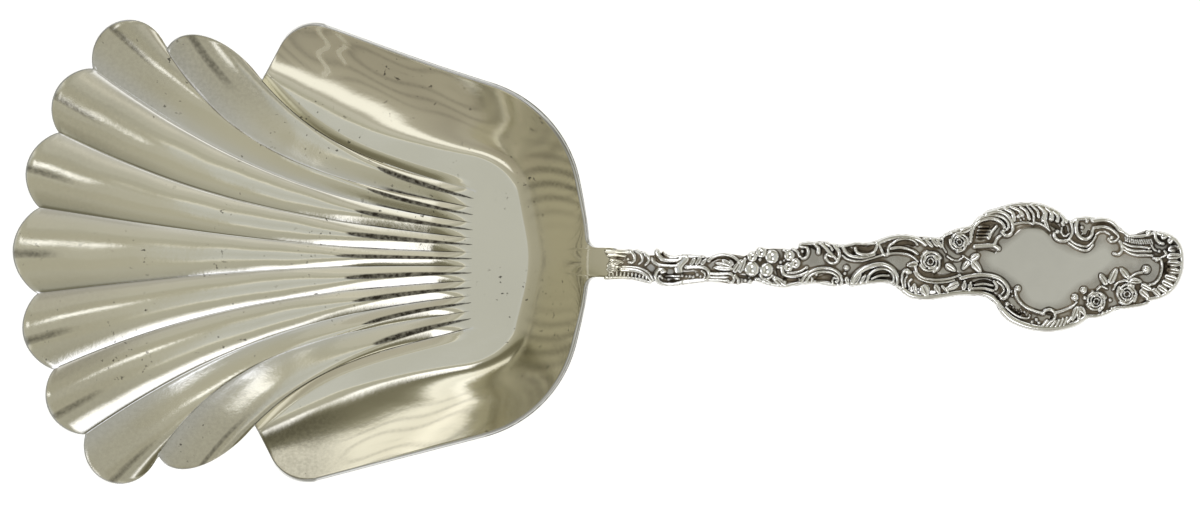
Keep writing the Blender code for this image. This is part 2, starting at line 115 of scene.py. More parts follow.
# Painted streaks in the gilding of the wings, standing in for reflections: swirled loops about a heart. Of
# this and the next painted marks,
# FORWARD and DOWN give the places where each starts and where it is full.
WING_STREAK_PITCH = 1.5
WING_STREAK_SHARE = 0.26
WING_STREAK_SHARPNESS = 5
WING_STREAK_HEART = (35.0, 3.0)
WING_STREAK_STRETCH = 4.5
WING_STREAK_SWIRL = 0.7
WING_STREAK_SWIRL_LENGTH = 5.0
WING_STREAK_SWIRL_START = 0.4
WING_STREAK_RIPPLE = 0.5
WING_STREAK_RIPPLE_LENGTH = 2.6
WING_STREAK_RIPPLE_SLANT = 2.0
WING_STREAK_FORWARD = (12.0, 24.0)
WING_STREAK_DOWN = (9.5, 7.0)

# Painted dark lines up the back wall beside its corners, standing in for reflections
CORNER_LINES_PITCH = 2.6
CORNER_LINES_SHARE = 0.62
NEAR_CORNER_LINES_SHARE = 0.42
CORNER_LINES_SHARPNESS = 3
CORNER_LINES_SIDE = 15.0
CORNER_LINES_SPREAD = 5.5
CORNER_LINES_BOW = 0.05
CORNER_LINES_BOW_AT = 5.0
CORNER_LINES_FORWARD = (16.0, 9.0)
CORNER_LINES_DOWN = (11.0, 8.0)

# Wavy matt marks on the far wing: place forward, swing, turn per millimetre, start of the wave, reach down
SQUIGGLES = ((50.3, 0.9, 1.5, 0.3, 7.5), (46.8, 0.6, 1.9, 1.1, 4.5))
SQUIGGLE_HALF_WIDTH = 0.45
SQUIGGLE_FADE = 1.0
SQUIGGLE_MATT = 0.9
SQUIGGLE_CLEARS_FROM = 0.1

# Darkening towards the tip of the near wing
NEAR_WING_DARKENING = 0.42
NEAR_WING_DARKENING_FORWARD = (41.0, 52.0)
NEAR_WING_DARKENING_DOWN = (13.0, 10.0)

# Ribs of one half: side of the root, notch behind the front lip and inside the side, leaving and
# meeting angles. Lobes of the rim between them: reach, fullness and lean.
RIBS = (
    (1.3, (4.8, 35.1), 0.0, 8.0),
    (3.9, (8.1, 21.2), 5.0, 25.0),
    (6.7, (14.1, 9.4), 7.0, 36.0),
    (9.5, (27.5, 6.1), 10.0, 58.0),
    (12.6, (45.0, 11.8), 16.0, 47.0),
)
LOBES = ((4.8, 0.8, 1.0), (4.3, 0.8, 1.0), (4.2, 0.75, 1.0), (7.4, 0.5, 1.0), (4.5, 0.85, 0.65))
RIB_PULL = 0.38
RIB_ROOT_LENGTH = 8.0
RIB_DIP = 0.6
RIB_DIP_FROM = 16.0
RIB_DIP_TO = 36.0
RIB_RISE_POWER = 2.0
END_PROFILE_POWER = 2.6
ROOT_PROFILE_POWER = 1.2
RIB_PROFILE_POWER = 2.3
OUTER_RIB_FOOT = 1.8
OUTER_RIB_POWER = 1.4
CREST_BEAD = 0.08
CREST_BEAD_POWER = 40
CREST_WEAR_POWER = 8

# Painted shade at the flutes' roots: dark slits and crest lines that stand in for dark reflections. Widths
# are shares of half a flute, and a core is the part at full strength.
ROOT_SHADE_REACH = 25.0
ROOT_SHADE_REACH_FALL = 1.6
ROOT_SHADE_HALF_WIDTH = 0.62
ROOT_SHADE_CORE = 0.5
ROOT_SHADE_OFFSET = 0.12
ROOT_SHADE_TAPER = (0.6, 0.35)
ROOT_SHADE_LEAST_TAPER = 1e-4
CREST_LINE_WIDTH = 0.14
CREST_LINE_CORE = 0.3
CREST_LINE_STARTS_BY = 0.1
CREST_LINE_FADES_FROM = 0.8

# Painted shade at their tips: dark streaks that stand in for dark reflections, with the far and the near
# side's place in each lobe, and a darkening
TIP_STREAK_LENGTH = 10.0
TIP_STREAK_GROWTH = 1.5
TIP_STREAK_FULL = 0.4
TIP_STREAK_HALF_WIDTH = 0.13
TIP_STREAK_CORE = 0.3
TIP_STREAK_SHARE = 0.7
TIP_STREAK_PLACES = ((-0.08, -0.08), (-0.08, -0.15), (-0.15, -0.2), (-0.3, 0.0), (-0.65, 0.25))
TIP_DARKENING_LENGTH = 26.0
TIP_DARKENING_FULL = 0.3
TIP_DARKENING_SHARE = 0.05

# Fineness of the bowl
RAY_STEPS = 100
RAY_CROWDING = 1.5
FOOT_CROWDING = 1.6
FLUTE_STEPS = 44
ARC_STEPS = 28
RUN_STEPS = 24
RIM_STEPS = 40
CREST_STEPS = 240
SLOPE_STEP = np.float64(0.02)
FILLET_STEPS = 6
TANG_RAYS = 8
ROUND_STEPS = 4
MOST_ROUNDING_SHARE = 0.8
FLOOR_LOOPS = (0.97, 0.9)

# Tongue of the handle under the bowl
JOINT_GAP = 0.12
SOLDER_THICKNESS = 0.2
TONGUE_HALF_WIDTH = 2.4
TONGUE_TIP_HALF_WIDTH = 0.8
TONGUE_THICKNESS = 1.3
TONGUE_TIP_THICKNESS = 0.5
TONGUE_DROP = 9.0
TONGUE_PLACES = 15
SOLDER_MARGIN = 0.5
SOLDER_PLACES = 17
CROWN_REACH = 0.98
CROWN_EDGE = 0.25

# Handle from the side, and its two edges as arcs of (length, end side, bulge)
NECK_SLOPE = 0.10
TIP_SLOPE = -0.10
TIP_THICKNESS = 2.0
TIP_CLEARANCE = 0.1
FAR_EDGE_START = 2.4
FAR_EDGE = (
    (5.8, 1.5, 0.35), (10.7, 0.9, 0.3), (7.5, 1.4, 0.5), (9.0, 2.3, 0.9), (7.6, 3.0, 1.0), (7.8, 3.2, 0.6),
    (5.6, 4.2, 0.9), (6.2, 4.2, 0.8), (7.2, 7.4, 0.6), (16.9, 7.4, 3.4), (11.1, 4.8, 2.0), (3.1, 6.2, 0.3),
)
NEAR_EDGE_START = -2.8
NEAR_EDGE = (
    (4.0, -2.7, 0.2), (13.6, -3.2, 1.1), (8.4, -3.5, 0.9), (10.6, -3.4, 1.0), (13.4, -3.4, 0.9),
    (19.5, -6.5, 0.8), (16.9, -10.3, 4.2), (6.8, -8.2, 0.7), (5.3, -7.0, 0.7),
)
ROUND_END_REACH = 6.6
SCALLOP_FULLNESS = 0.8
BACK_ROUND_WIDTH = 1.3
BACK_ROUND_SHARE = 0.55
OUTLINE_INSET = 0.3

# Grid that the ornament is carved in: its reach along and aside, where the face ends, and room round a form
RELIEF_ALONG = (1.8, 110.0)
RELIEF_SIDE = (-13.6, 11.6)
RELIEF_END = 109.0
FORM_MARGIN = 0.6
# Height under every form, what keeps a division from 0, steps of a smooth line, and where a cell may be cut
FAR_BELOW = -9.0
TINY = 1e-9
LINE_STEPS = 10
CUT_SHARES = (0.12, 0.88)

# Ornament's height by place along the handle, the ground's fall to its depth and the edges' rounding
RELIEF_SHARES = (0.75, 1.1)
RELIEF_GROWS = (12.0, 55.0)
SINK_FALLS = (3.5, 7.0)
ROUNDING_STARTS = (3.5, 6.0)

# Lap of the handle's start over the tang: its length, its height there, and the back's end at the tang
LAP_LENGTH = 0.5
LAP_HEIGHT = 0.1
BACK_END_LENGTH = 0.06
BACK_END_LIFT = 0.02

# Plain back: least distance of its points from the outline, and how far past it, in cells, a face may lie
BACK_INSET = 0.25
BACK_SLACK = 0.6
MERGE_WITHIN = 1e-7
SHARP_FROM = math.radians(60.0)

# Profiles of the ornament's forms
SCROLL_FULLNESS = 1.4
SCROLL_ROUNDNESS = 0.7
HOLLOW_EDGE = (0.4, 1.3)
HOLLOW_DARKNESS = 0.6
BALL_LEAST_HEIGHT = 0.3
BALL_HEIGHT_SHARE = 0.6
LEAF_FULLNESS = 1.25
LEAF_HEIGHT = 0.6
LEAF_EDGE_SHARE = 0.35
LEAF_LEAN = 0.75
LEAF_LEAST_WIDTH = 1e-6
LEAF_ROUNDNESS = 2.4
LEAF_POINT_CUT = 3.0
MIDRIB_DEPTH = 0.45
MIDRIB_WIDTH = 0.22
PETAL_FULLNESS = 1.12
PETAL_HEIGHT = 0.7
PETAL_CUP_DEPTH = 0.45
PETAL_CUP_WIDTH = 0.5
PETAL_ROUNDNESS = 3
BLOSSOM_HEART_HEIGHT = 1.0
GADROON_HEIGHT = 0.45
GADROON_LOOK_AHEAD = 0.1

# Scales at which sunk places hold oxide: rounds of smoothing, depths where it starts and is full, share
RECESS_SCALES = (
    (5, 0.012, 0.06, 0.95), (15, 0.03, 0.18, 1.0), (40, 0.03, 0.24, 0.6), (280, 0.01, 0.16, 0.32),
)

# Scrolls of the handle: half width at the start and at the end, height, and the places it runs through
SCROLLS = (
    # neck
    (0.30, 0.25, 0.45, (2.6, 2.0), (4.4, 1.95), (6.2, 1.85), (7.2, 1.8)),
    (0.32, 0.25, 0.45, (3.0, 1.3), (4.6, 1.35), (6.0, 1.15)),
    (0.24, 0.20, 0.45, (3.4, 0.4), (4.6, 0.3), (5.6, -0.1)),
    (0.32, 0.22, 0.55, (7.1, 2.0), (7.65, 1.3), (7.8, 0.5), (7.3, -0.1), (6.7, 0.0)),
    (0.30, 0.20, 0.55, (8.2, 2.0), (8.85, 1.6), (9.2, 0.8), (9.05, 0.1), (8.6, -0.3)),
    (0.30, 0.20, 0.50, (9.7, 1.5), (10.35, 0.9), (10.35, 0.2), (9.8, -0.5)),
    (0.35, 0.30, 0.50, (5.4, -1.35), (7.5, -1.4), (9.0, -1.8), (10.1, -2.5), (10.8, -3.4)),
    (0.20, 0.20, 0.55, (5.6, -0.8), (8.0, -0.95), (9.4, -1.35), (10.5, -2.1), (11.2, -3.2)),
    (0.22, 0.22, 0.40, (2.5, -2.85), (6.0, -2.8), (9.0, -3.15), (10.6, -3.7)),
    (0.42, 0.28, 0.60, (11.9, 1.9), (12.3, 1.2), (13.1, 0.55), (14.2, 0.35), (15.4, 0.35), (16.3, 0.7)),
    (0.22, 0.20, 0.45, (13.1, 1.7), (13.8, 1.05), (15.0, 0.9), (16.3, 1.0), (17.5, 1.0)),
    (0.28, 0.24, 0.60, (11.0, 0.5), (11.5, -0.1), (12.3, -0.5), (13.4, -0.6), (14.6, -0.65), (15.7, -0.6)),
    (0.60, 0.55, 0.40, (17.0, 0.7), (16.2, -0.2), (15.8, -0.9), (15.9, -1.7)),
    (0.30, 0.28, 0.60, (13.3, -1.7), (12.8, -1.3), (12.1, -1.5), (11.65, -2.3), (11.75, -3.1),
     (12.5, -3.75), (13.8, -4.0), (15.2, -3.95), (16.4, -3.65)),
    (0.20, 0.18, 0.50, (12.9, -2.9), (12.5, -2.55), (12.1, -2.8), (12.2, -3.2)),
    (0.20, 0.20, 0.45, (13.6, -2.55), (14.8, -2.55), (16.0, -2.5)),
    (0.18, 0.18, 0.40, (14.0, -3.05), (15.9, -3.05)),
    (0.34, 0.30, 0.40, (16.2, -3.75), (18.0, -3.5), (20.0, -3.3), (21.0, -3.2)),
    (0.35, 0.25, 0.60, (17.4, -0.95), (19.2, -0.85), (20.6, -1.05), (21.35, -1.7), (21.4, -2.5),
     (20.9, -3.15)),
    (0.20, 0.18, 0.50, (20.1, -1.6), (20.7, -2.1), (20.6, -2.8)),
    (0.20, 0.20, 0.40, (17.4, 1.0), (19.0, 1.05), (20.6, 0.95)),
    # first arch and its double band
    (0.26, 0.24, 0.60, (21.4, 0.2), (22.3, 0.95), (23.8, 1.35), (25.3, 1.2), (26.5, 0.5), (27.3, -0.3)),
    (0.28, 0.22, 0.60, (21.7, -2.1), (23.5, -2.15), (25.2, -2.1), (25.8, -2.5), (26.0, -3.2), (25.5, -3.75),
     (24.95, -3.4)),
    (0.24, 0.22, 0.50, (21.7, -2.75), (23.3, -2.8), (24.8, -2.75)),
    (0.22, 0.22, 0.40, (21.3, -3.2), (23.0, -3.25), (24.7, -3.35)),
    (0.30, 0.20, 0.50, (26.2, -2.5), (26.8, -3.2), (26.7, -4.0)),
    # scrolls round the blossoms
    (0.28, 0.20, 0.50, (30.9, -2.3), (31.3, -3.0), (32.3, -3.05), (33.1, -2.4)),
    (0.24, 0.22, 0.55, (35.9, -1.9), (37.3, -1.9), (38.5, -1.5), (39.3, -0.9)),
    (0.35, 0.25, 0.60, (34.85, -0.9), (34.95, -1.8), (35.6, -2.45), (37.0, -2.6), (38.4, -2.3),
     (39.6, -1.75)),
    (0.28, 0.25, 0.40, (33.0, -4.0), (35.2, -4.3), (36.5, -4.1), (38.2, -3.7)),
    (0.32, 0.22, 0.60, (38.3, 2.9), (39.3, 2.75), (39.65, 1.9), (39.35, 1.0), (38.7, 0.65), (38.2, 1.0)),
    (0.26, 0.20, 0.50, (36.9, 2.4), (37.7, 1.9), (38.0, 1.1)),
    (0.30, 0.26, 0.45, (38.3, 3.2), (39.7, 3.4), (41.0, 3.45), (42.2, 3.4)),
    (0.32, 0.36, 0.60, (40.9, 3.3), (41.5, 2.7), (41.6, 1.8)),
    # curled leaf and the great arch
    (0.36, 0.26, 0.55, (42.1, 3.4), (42.9, 2.6), (43.5, 1.9), (44.2, 1.2), (44.9, 0.5)),
    (0.34, 0.22, 0.55, (43.0, 3.4), (43.8, 2.9), (44.1, 2.2)),
    (0.36, 0.28, 0.55, (44.5, 3.0), (45.15, 2.2), (45.4, 1.2), (45.0, 0.2)),
    (0.30, 0.24, 0.60, (43.9, 1.1), (43.1, 1.4), (42.9, 0.8), (43.4, 0.1), (44.2, -0.25), (45.0, 0.1)),
    (0.30, 0.26, 0.60, (38.4, -3.7), (38.9, -2.8), (39.8, -1.9), (41.1, -1.3), (42.8, -1.1), (44.3, -1.4),
     (45.4, -2.2), (45.85, -3.3), (45.6, -4.1)),
    (0.28, 0.22, 0.60, (39.3, -3.6), (39.9, -2.6), (41.1, -1.95), (42.8, -1.75), (44.2, -2.05),
     (45.1, -2.7), (45.2, -3.4), (44.7, -3.6)),
    (0.22, 0.20, 0.50, (44.9, -3.0), (44.4, -2.9), (44.1, -3.4), (44.3, -4.0)),
    (0.28, 0.26, 0.40, (38.6, -3.7), (41.0, -3.6), (43.0, -3.75), (44.6, -4.2)),
    # scroll with the open pocket
    (0.32, 0.30, 0.60, (46.1, 2.7), (46.6, 1.8), (47.5, 1.15), (49.0, 0.9), (50.6, 0.95), (51.8, 1.35)),
    (0.30, 0.28, 0.60, (48.3, 2.5), (48.7, 1.75), (49.6, 1.4), (51.0, 1.45), (51.9, 2.0), (52.4, 3.2)),
    (0.22, 0.20, 0.40, (45.2, 2.9), (46.6, 3.0), (48.4, 3.4), (50.0, 3.3), (51.8, 3.35)),
    (0.20, 0.20, 0.50, (46.0, 1.2), (46.8, 0.6), (48.0, 0.28), (49.5, 0.25), (51.0, 0.6), (52.5, 1.05),
     (54.0, 1.45), (56.0, 1.65), (58.0, 1.4), (59.2, 0.75), (59.9, 0.1)),
    (0.28, 0.24, 0.55, (52.7, 3.3), (53.1, 2.4), (53.4, 1.6), (53.9, 1.25), (54.4, 1.6), (54.4, 2.6),
     (54.9, 3.3)),
    (0.38, 0.34, 0.50, (52.3, 3.5), (53.6, 4.0), (55.0, 4.45), (57.0, 4.65), (59.0, 4.45), (60.4, 3.9),
     (61.3, 3.2)),
    (0.25, 0.22, 0.60, (55.2, 3.4), (56.1, 4.05), (57.5, 4.3), (59.0, 4.0), (59.8, 3.2)),
    (0.28, 0.24, 0.60, (54.9, 2.5), (56.2, 2.7), (57.6, 2.55), (59.0, 2.05), (59.8, 1.5)),
    # broad arch below
    (0.50, 0.34, 0.70, (47.8, -3.8), (48.2, -2.8), (49.2, -1.7), (50.6, -0.95), (52.0, -0.5), (53.5, -0.45),
     (54.8, -1.0), (55.8, -2.1), (56.15, -3.3), (56.0, -4.2)),
    (0.30, 0.26, 0.60, (50.5, -3.4), (50.9, -2.4), (51.9, -1.55), (53.3, -1.2), (54.6, -1.55),
     (55.35, -2.4), (55.4, -3.6)),
    (0.22, 0.20, 0.50, (51.4, -3.05), (52.7, -2.5), (54.5, -2.45)),
    (0.30, 0.28, 0.40, (47.6, -4.1), (50.4, -3.7), (52.0, -3.5), (54.0, -3.5), (55.6, -3.9), (57.0, -4.9)),
    # ground of the first two roses
    (0.26, 0.22, 0.60, (59.4, -0.9), (59.8, -2.0), (60.8, -2.85), (62.3, -3.2), (64.0, -3.25), (65.8, -3.0),
     (67.7, -2.35)),
    (0.24, 0.20, 0.55, (59.2, -1.8), (59.9, -2.8), (61.0, -3.4), (62.8, -3.75), (65.0, -3.65),
     (66.6, -3.3)),
    (0.30, 0.24, 0.55, (58.5, -1.9), (57.8, -1.45), (57.1, -2.0), (56.9, -3.2), (57.2, -4.6)),
    (0.20, 0.18, 0.50, (57.9, -2.6), (57.5, -3.3), (57.6, -4.6)),
    (0.25, 0.20, 0.50, (58.7, -3.2), (58.2, -3.7), (58.3, -5.0)),
    (0.42, 0.36, 0.45, (57.2, -5.0), (58.4, -5.9), (60.0, -6.3), (62.0, -6.4), (64.0, -6.15), (66.0, -5.85),
     (68.0, -5.6), (70.0, -5.6), (72.0, -5.8), (73.5, -6.4), (74.6, -7.4), (75.6, -8.8)),
    (0.18, 0.16, 0.45, (64.5, 4.2), (64.5, 2.9), (65.1, 1.8)),
    (0.18, 0.16, 0.45, (65.3, 1.1), (66.3, 0.45), (67.4, 0.35), (68.3, 0.95)),
    (0.16, 0.14, 0.40, (68.2, 1.2), (69.4, 0.4), (70.0, 0.0)),
    (0.26, 0.24, 0.40, (61.0, 4.3), (62.6, 4.3), (64.2, 4.2), (64.8, 4.8), (66.6, 5.6), (68.2, 6.2)),
    # scroll under the panel
    (0.36, 0.30, 0.60, (67.8, -2.95), (69.5, -2.55), (71.5, -2.35), (73.5, -2.55), (75.2, -3.2),
     (76.3, -4.3), (76.65, -5.4), (76.2, -6.4), (75.5, -6.7), (75.0, -6.2)),
    (0.24, 0.20, 0.55, (74.6, -3.6), (75.5, -4.4), (75.8, -5.2), (75.4, -5.8)),
    (0.30, 0.26, 0.50, (74.0, -3.6), (74.5, -4.4), (74.3, -5.0)),
    (0.20, 0.20, 0.45, (70.4, -4.2), (72.0, -3.98), (73.7, -4.3)),
    (0.25, 0.24, 0.45, (70.0, -4.85), (72.0, -4.85), (73.8, -5.25)),
    # shell scroll at the panel's far side
    (0.36, 0.30, 0.65, (69.6, 3.9), (69.8, 5.4), (70.4, 6.7), (71.5, 7.6), (73.0, 8.0), (74.5, 7.8),
     (75.5, 7.1), (75.9, 6.4)),
    (0.30, 0.26, 0.60, (70.6, 7.4), (71.6, 8.2), (73.5, 8.65), (75.4, 8.3), (76.5, 7.4), (76.65, 6.5),
     (76.3, 6.0)),
    (0.38, 0.28, 0.65, (72.6, 8.9), (74.3, 9.3), (75.9, 8.95), (76.9, 8.0), (77.4, 6.9), (77.4, 5.8),
     (76.8, 5.05), (76.0, 4.95), (75.4, 5.5)),
    (0.30, 0.26, 0.50, (73.0, 4.4), (73.5, 5.5), (74.4, 6.6)),
    (0.20, 0.18, 0.40, (71.2, 6.5), (72.9, 6.55)),
    (0.20, 0.18, 0.40, (71.0, 5.85), (73.2, 5.85)),
    (0.20, 0.18, 0.40, (70.9, 5.2), (73.0, 5.25)),
    (0.20, 0.18, 0.40, (70.8, 4.6), (72.8, 4.6)),
    (0.38, 0.34, 0.60, (70.4, 2.9), (72.0, 3.05), (73.8, 3.05), (74.7, 2.6)),
    (0.28, 0.24, 0.55, (74.1, 3.4), (74.5, 4.3), (75.2, 4.9)),
    # gadrooned arch at the panel's far side
    (0.42, 0.30, 0.60, (77.6, 7.8), (77.4, 9.0), (76.0, 9.8)),
    (0.40, 0.30, 0.60, (79.2, 8.7), (78.6, 9.5), (77.2, 10.1)),
    (0.32, 0.26, 0.60, (80.5, 8.0), (80.0, 9.3), (78.8, 10.2)),
    (0.26, 0.22, 0.60, (81.35, 7.7), (81.2, 8.9), (80.2, 10.2)),
    (0.28, 0.24, 0.60, (82.2, 8.3), (82.0, 9.4), (80.9, 10.5)),
    (0.50, 0.34, 0.60, (83.2, 7.8), (83.4, 9.2), (82.2, 10.4)),
    (0.45, 0.32, 0.60, (84.6, 8.0), (84.6, 9.1), (83.6, 10.0)),
    (0.36, 0.28, 0.55, (85.7, 7.6), (85.8, 8.5), (85.0, 9.3)),
    (0.30, 0.26, 0.55, (86.6, 7.2), (86.9, 7.8), (86.4, 8.6)),
    (0.22, 0.20, 0.50, (77.4, 6.9), (79.0, 7.25), (80.5, 7.25), (81.3, 6.9)),
    (0.22, 0.20, 0.50, (81.3, 7.3), (82.5, 7.05), (83.6, 6.5), (84.3, 5.8)),
    (0.34, 0.30, 0.40, (73.8, 9.4), (75.2, 9.7), (77.0, 10.3), (79.0, 10.6), (81.0, 10.6), (83.0, 10.3),
     (85.0, 9.5), (86.6, 8.4), (87.4, 7.4)),
    (0.28, 0.26, 0.60, (85.1, 5.3), (85.35, 4.5), (86.1, 4.0), (87.1, 3.9), (87.95, 4.3), (88.4, 5.2),
     (88.5, 6.3), (88.2, 7.3)),
    (0.20, 0.18, 0.50, (86.5, 6.3), (86.5, 5.3), (87.2, 4.8), (87.9, 5.3)),
    # upright scrolls beyond it
    (0.36, 0.28, 0.60, (89.3, 7.5), (89.15, 6.4), (89.4, 5.2), (90.2, 4.35), (91.2, 4.25), (92.0, 4.9),
     (92.3, 6.0)),
    (0.30, 0.26, 0.45, (88.4, 7.3), (89.2, 7.8), (90.2, 8.0), (92.0, 8.1)),
    (0.35, 0.30, 0.55, (92.4, 7.6), (94.0, 7.8), (95.4, 7.55), (96.5, 6.8), (97.1, 6.0)),
    (0.28, 0.24, 0.55, (92.4, 6.3), (94.0, 6.5), (95.4, 6.2), (96.4, 5.5), (97.0, 4.9)),
    (0.18, 0.18, 0.50, (92.9, 5.1), (93.6, 5.55), (94.6, 5.55), (95.4, 5.1)),
    (0.25, 0.22, 0.50, (95.2, 4.3), (95.7, 3.8), (96.5, 3.9), (97.1, 4.6)),
    (0.22, 0.20, 0.55, (88.2, 4.0), (89.2, 3.3), (90.3, 2.95), (91.3, 2.95), (92.1, 3.6), (92.8, 4.7)),
    (0.25, 0.22, 0.50, (87.9, 3.55), (89.3, 2.65), (90.6, 2.2), (91.5, 2.35), (92.3, 3.2)),
    (0.30, 0.24, 0.55, (97.3, 3.8), (97.75, 2.9), (97.6, 2.0), (97.0, 1.45), (96.2, 1.6)),
    (0.26, 0.24, 0.45, (97.3, 5.8), (98.0, 5.5), (98.6, 5.0), (99.6, 4.75), (101.0, 4.75), (102.5, 5.0),
     (103.7, 5.4)),
    (0.20, 0.20, 0.50, (98.0, 3.5), (99.4, 2.95), (101.3, 2.8), (102.9, 2.6)),
    (0.24, 0.22, 0.50, (97.9, 3.05), (98.9, 2.35), (100.3, 2.05), (102.0, 2.0), (103.1, 2.0)),
    (0.24, 0.22, 0.45, (98.1, 2.3), (99.3, 1.6), (100.6, 1.3), (102.3, 1.3), (103.3, 1.2)),
    (0.32, 0.26, 0.55, (103.8, 5.3), (104.0, 4.4), (104.6, 3.6), (105.4, 3.4)),
    (0.20, 0.18, 0.50, (103.2, 3.1), (103.5, 2.5), (104.0, 2.1)),
    (0.25, 0.22, 0.50, (105.6, 2.0), (105.9, 1.5), (105.4, 1.0), (105.0, 0.9)),
    # round end
    (0.30, 0.30, 0.40, (104.4, 5.3), (106.0, 5.0), (107.4, 4.2), (108.4, 2.9), (108.8, 1.2), (108.8, -0.6),
     (108.5, -2.2), (107.8, -3.8), (106.7, -5.2), (105.3, -6.1), (103.8, -6.6), (102.4, -6.8)),
    (0.24, 0.24, 0.55, (103.6, 0.7), (104.7, 0.6), (105.15, -0.3), (105.1, -1.6), (104.6, -3.0),
     (103.8, -3.9), (102.9, -4.2)),
    (0.22, 0.20, 0.45, (101.4, -1.9), (100.3, -2.15), (99.5, -2.6), (98.8, -3.1)),
    (0.24, 0.22, 0.50, (96.1, -5.0), (96.8, -3.9), (98.2, -3.4), (99.4, -3.9)),
    (0.22, 0.20, 0.50, (93.1, -5.1), (93.9, -4.5), (94.9, -4.9)),
    (0.28, 0.26, 0.40, (90.8, -9.9), (93.0, -9.9), (95.0, -9.3), (96.6, -8.4), (98.0, -8.3), (99.5, -8.1),
     (101.0, -7.9), (102.4, -7.5)),
    # rim of the panel's near side
    (0.26, 0.24, 0.60, (77.9, -5.0), (78.1, -6.3), (78.9, -7.5), (80.2, -8.5), (82.0, -9.2), (83.2, -9.5)),
    (0.28, 0.24, 0.60, (83.0, -9.5), (83.5, -8.95), (84.3, -8.75), (85.1, -9.2), (85.3, -10.0),
     (84.8, -10.8)),
    (0.25, 0.22, 0.55, (85.5, -9.3), (87.0, -8.85), (88.4, -8.2), (89.3, -7.4)),
    (0.20, 0.18, 0.50, (76.2, -8.3), (77.5, -9.4), (79.0, -10.2), (80.3, -10.3), (80.6, -9.8)),
    (0.48, 0.42, 0.50, (75.5, -8.8), (77.0, -10.3), (79.0, -11.3), (81.0, -11.9), (83.0, -12.2),
     (85.0, -12.2), (87.0, -11.9), (89.0, -11.3), (90.8, -10.2)),
)

# Hollows between the scrolls, left dark: half width, depth and the places each runs through
HOLLOWS = (
    (0.22, 0.3, (10.9, 1.3), (11.8, 0.9), (12.25, 0.15), (13.5, -0.15), (15.2, -0.1)),
    (0.30, 0.3, (12.9, 1.8), (13.1, 1.2), (13.7, 0.85)),
    (0.16, 0.3, (3.8, 0.75), (5.7, 0.6)),
    (0.45, 0.3, (13.2, -2.3), (14.2, -2.8), (15.0, -3.3)),
    (0.35, 0.25, (15.2, -2.2), (17.0, -2.1), (18.6, -2.0)),
    (0.22, 0.3, (21.9, 0.25), (23.0, 0.75), (24.2, 0.85), (25.3, 0.55), (26.1, 0.05)),
    (0.15, 0.3, (21.8, -1.65), (23.5, -1.7), (25.2, -1.7)),
    (0.35, 0.3, (27.0, -2.6), (28.3, -2.8)),
    (0.35, 0.3, (34.0, -1.4), (34.3, -2.4)),
    (0.35, 0.3, (35.3, -3.2), (36.5, -3.3), (37.8, -3.2)),
    (0.30, 0.3, (39.05, 2.2), (39.1, 1.5)),
    (0.20, 0.25, (38.8, 3.0), (40.0, 2.95), (40.9, 2.5)),
    (0.16, 0.25, (41.35, 3.2), (41.95, 2.6), (42.0, 1.7)),
    (0.16, 0.25, (43.8, 3.2), (44.45, 2.4), (44.35, 1.4)),
    (0.55, 0.3, (41.5, -3.2), (42.6, -2.8), (43.8, -2.8)),
    (0.50, 0.3, (49.3, 2.6), (50.4, 2.4), (51.4, 2.7)),
    (0.25, 0.3, (47.2, 2.6), (47.8, 2.1), (48.2, 1.8)),
    (0.12, 0.25, (46.2, 1.6), (47.1, 0.85), (48.6, 0.58), (50.0, 0.6), (51.5, 1.0), (52.6, 1.4)),
    (0.25, 0.3, (53.8, 2.5), (53.9, 1.9)),
    (0.50, 0.3, (56.4, 3.4), (57.7, 3.6), (59.0, 3.35)),
    (0.15, 0.25, (55.4, 2.1), (57.3, 2.0), (59.0, 1.3)),
    (0.30, 0.3, (51.5, -2.5), (52.7, -1.85), (54.2, -1.85)),
    (0.15, 0.25, (51.6, -3.3), (53.0, -2.85), (55.0, -2.9)),
    (0.20, 0.3, (56.4, -2.9), (56.4, -4.2)),
    (0.40, 0.2, (63.2, -2.5), (65.0, -2.5), (67.0, -2.1)),
    (0.25, 0.3, (70.1, -4.0), (71.3, -3.5), (72.6, -3.45), (73.8, -3.95)),
    (0.13, 0.25, (70.1, -4.45), (72.0, -4.4), (74.0, -4.75)),
    (0.15, 0.25, (70.3, -5.25), (73.3, -5.55), (75.0, -6.6)),
    (0.95, 0.3, (71.5, 5.0), (72.2, 6.0), (73.2, 6.9)),
    (0.20, 0.2, (70.8, 2.1), (72.5, 2.35), (74.1, 1.9)),
    (0.50, 0.3, (84.9, 6.9), (85.6, 6.5)),
    (0.35, 0.12, (77.6, 5.4), (78.8, 6.3), (80.5, 6.6), (82.5, 6.4), (84.2, 5.3)),
    (0.35, 0.3, (87.2, 6.3), (87.3, 5.6)),
    (0.25, 0.3, (90.4, 4.8), (91.2, 5.0), (91.5, 5.7)),
    (0.20, 0.3, (89.75, 7.0), (89.7, 6.0), (90.1, 5.4)),
    (0.16, 0.25, (93.0, 7.1), (95.0, 7.0), (96.3, 6.2)),
    (0.50, 0.3, (107.2, 2.8), (107.7, 2.4)),
    (0.70, 0.25, (106.2, -0.6), (106.2, -1.8)),
    (0.25, 0.3, (83.9, -9.5), (84.7, -9.7), (84.6, -10.4)),
    (0.35, 0.3, (76.9, -8.2), (78.0, -9.1), (79.5, -9.8)),
)

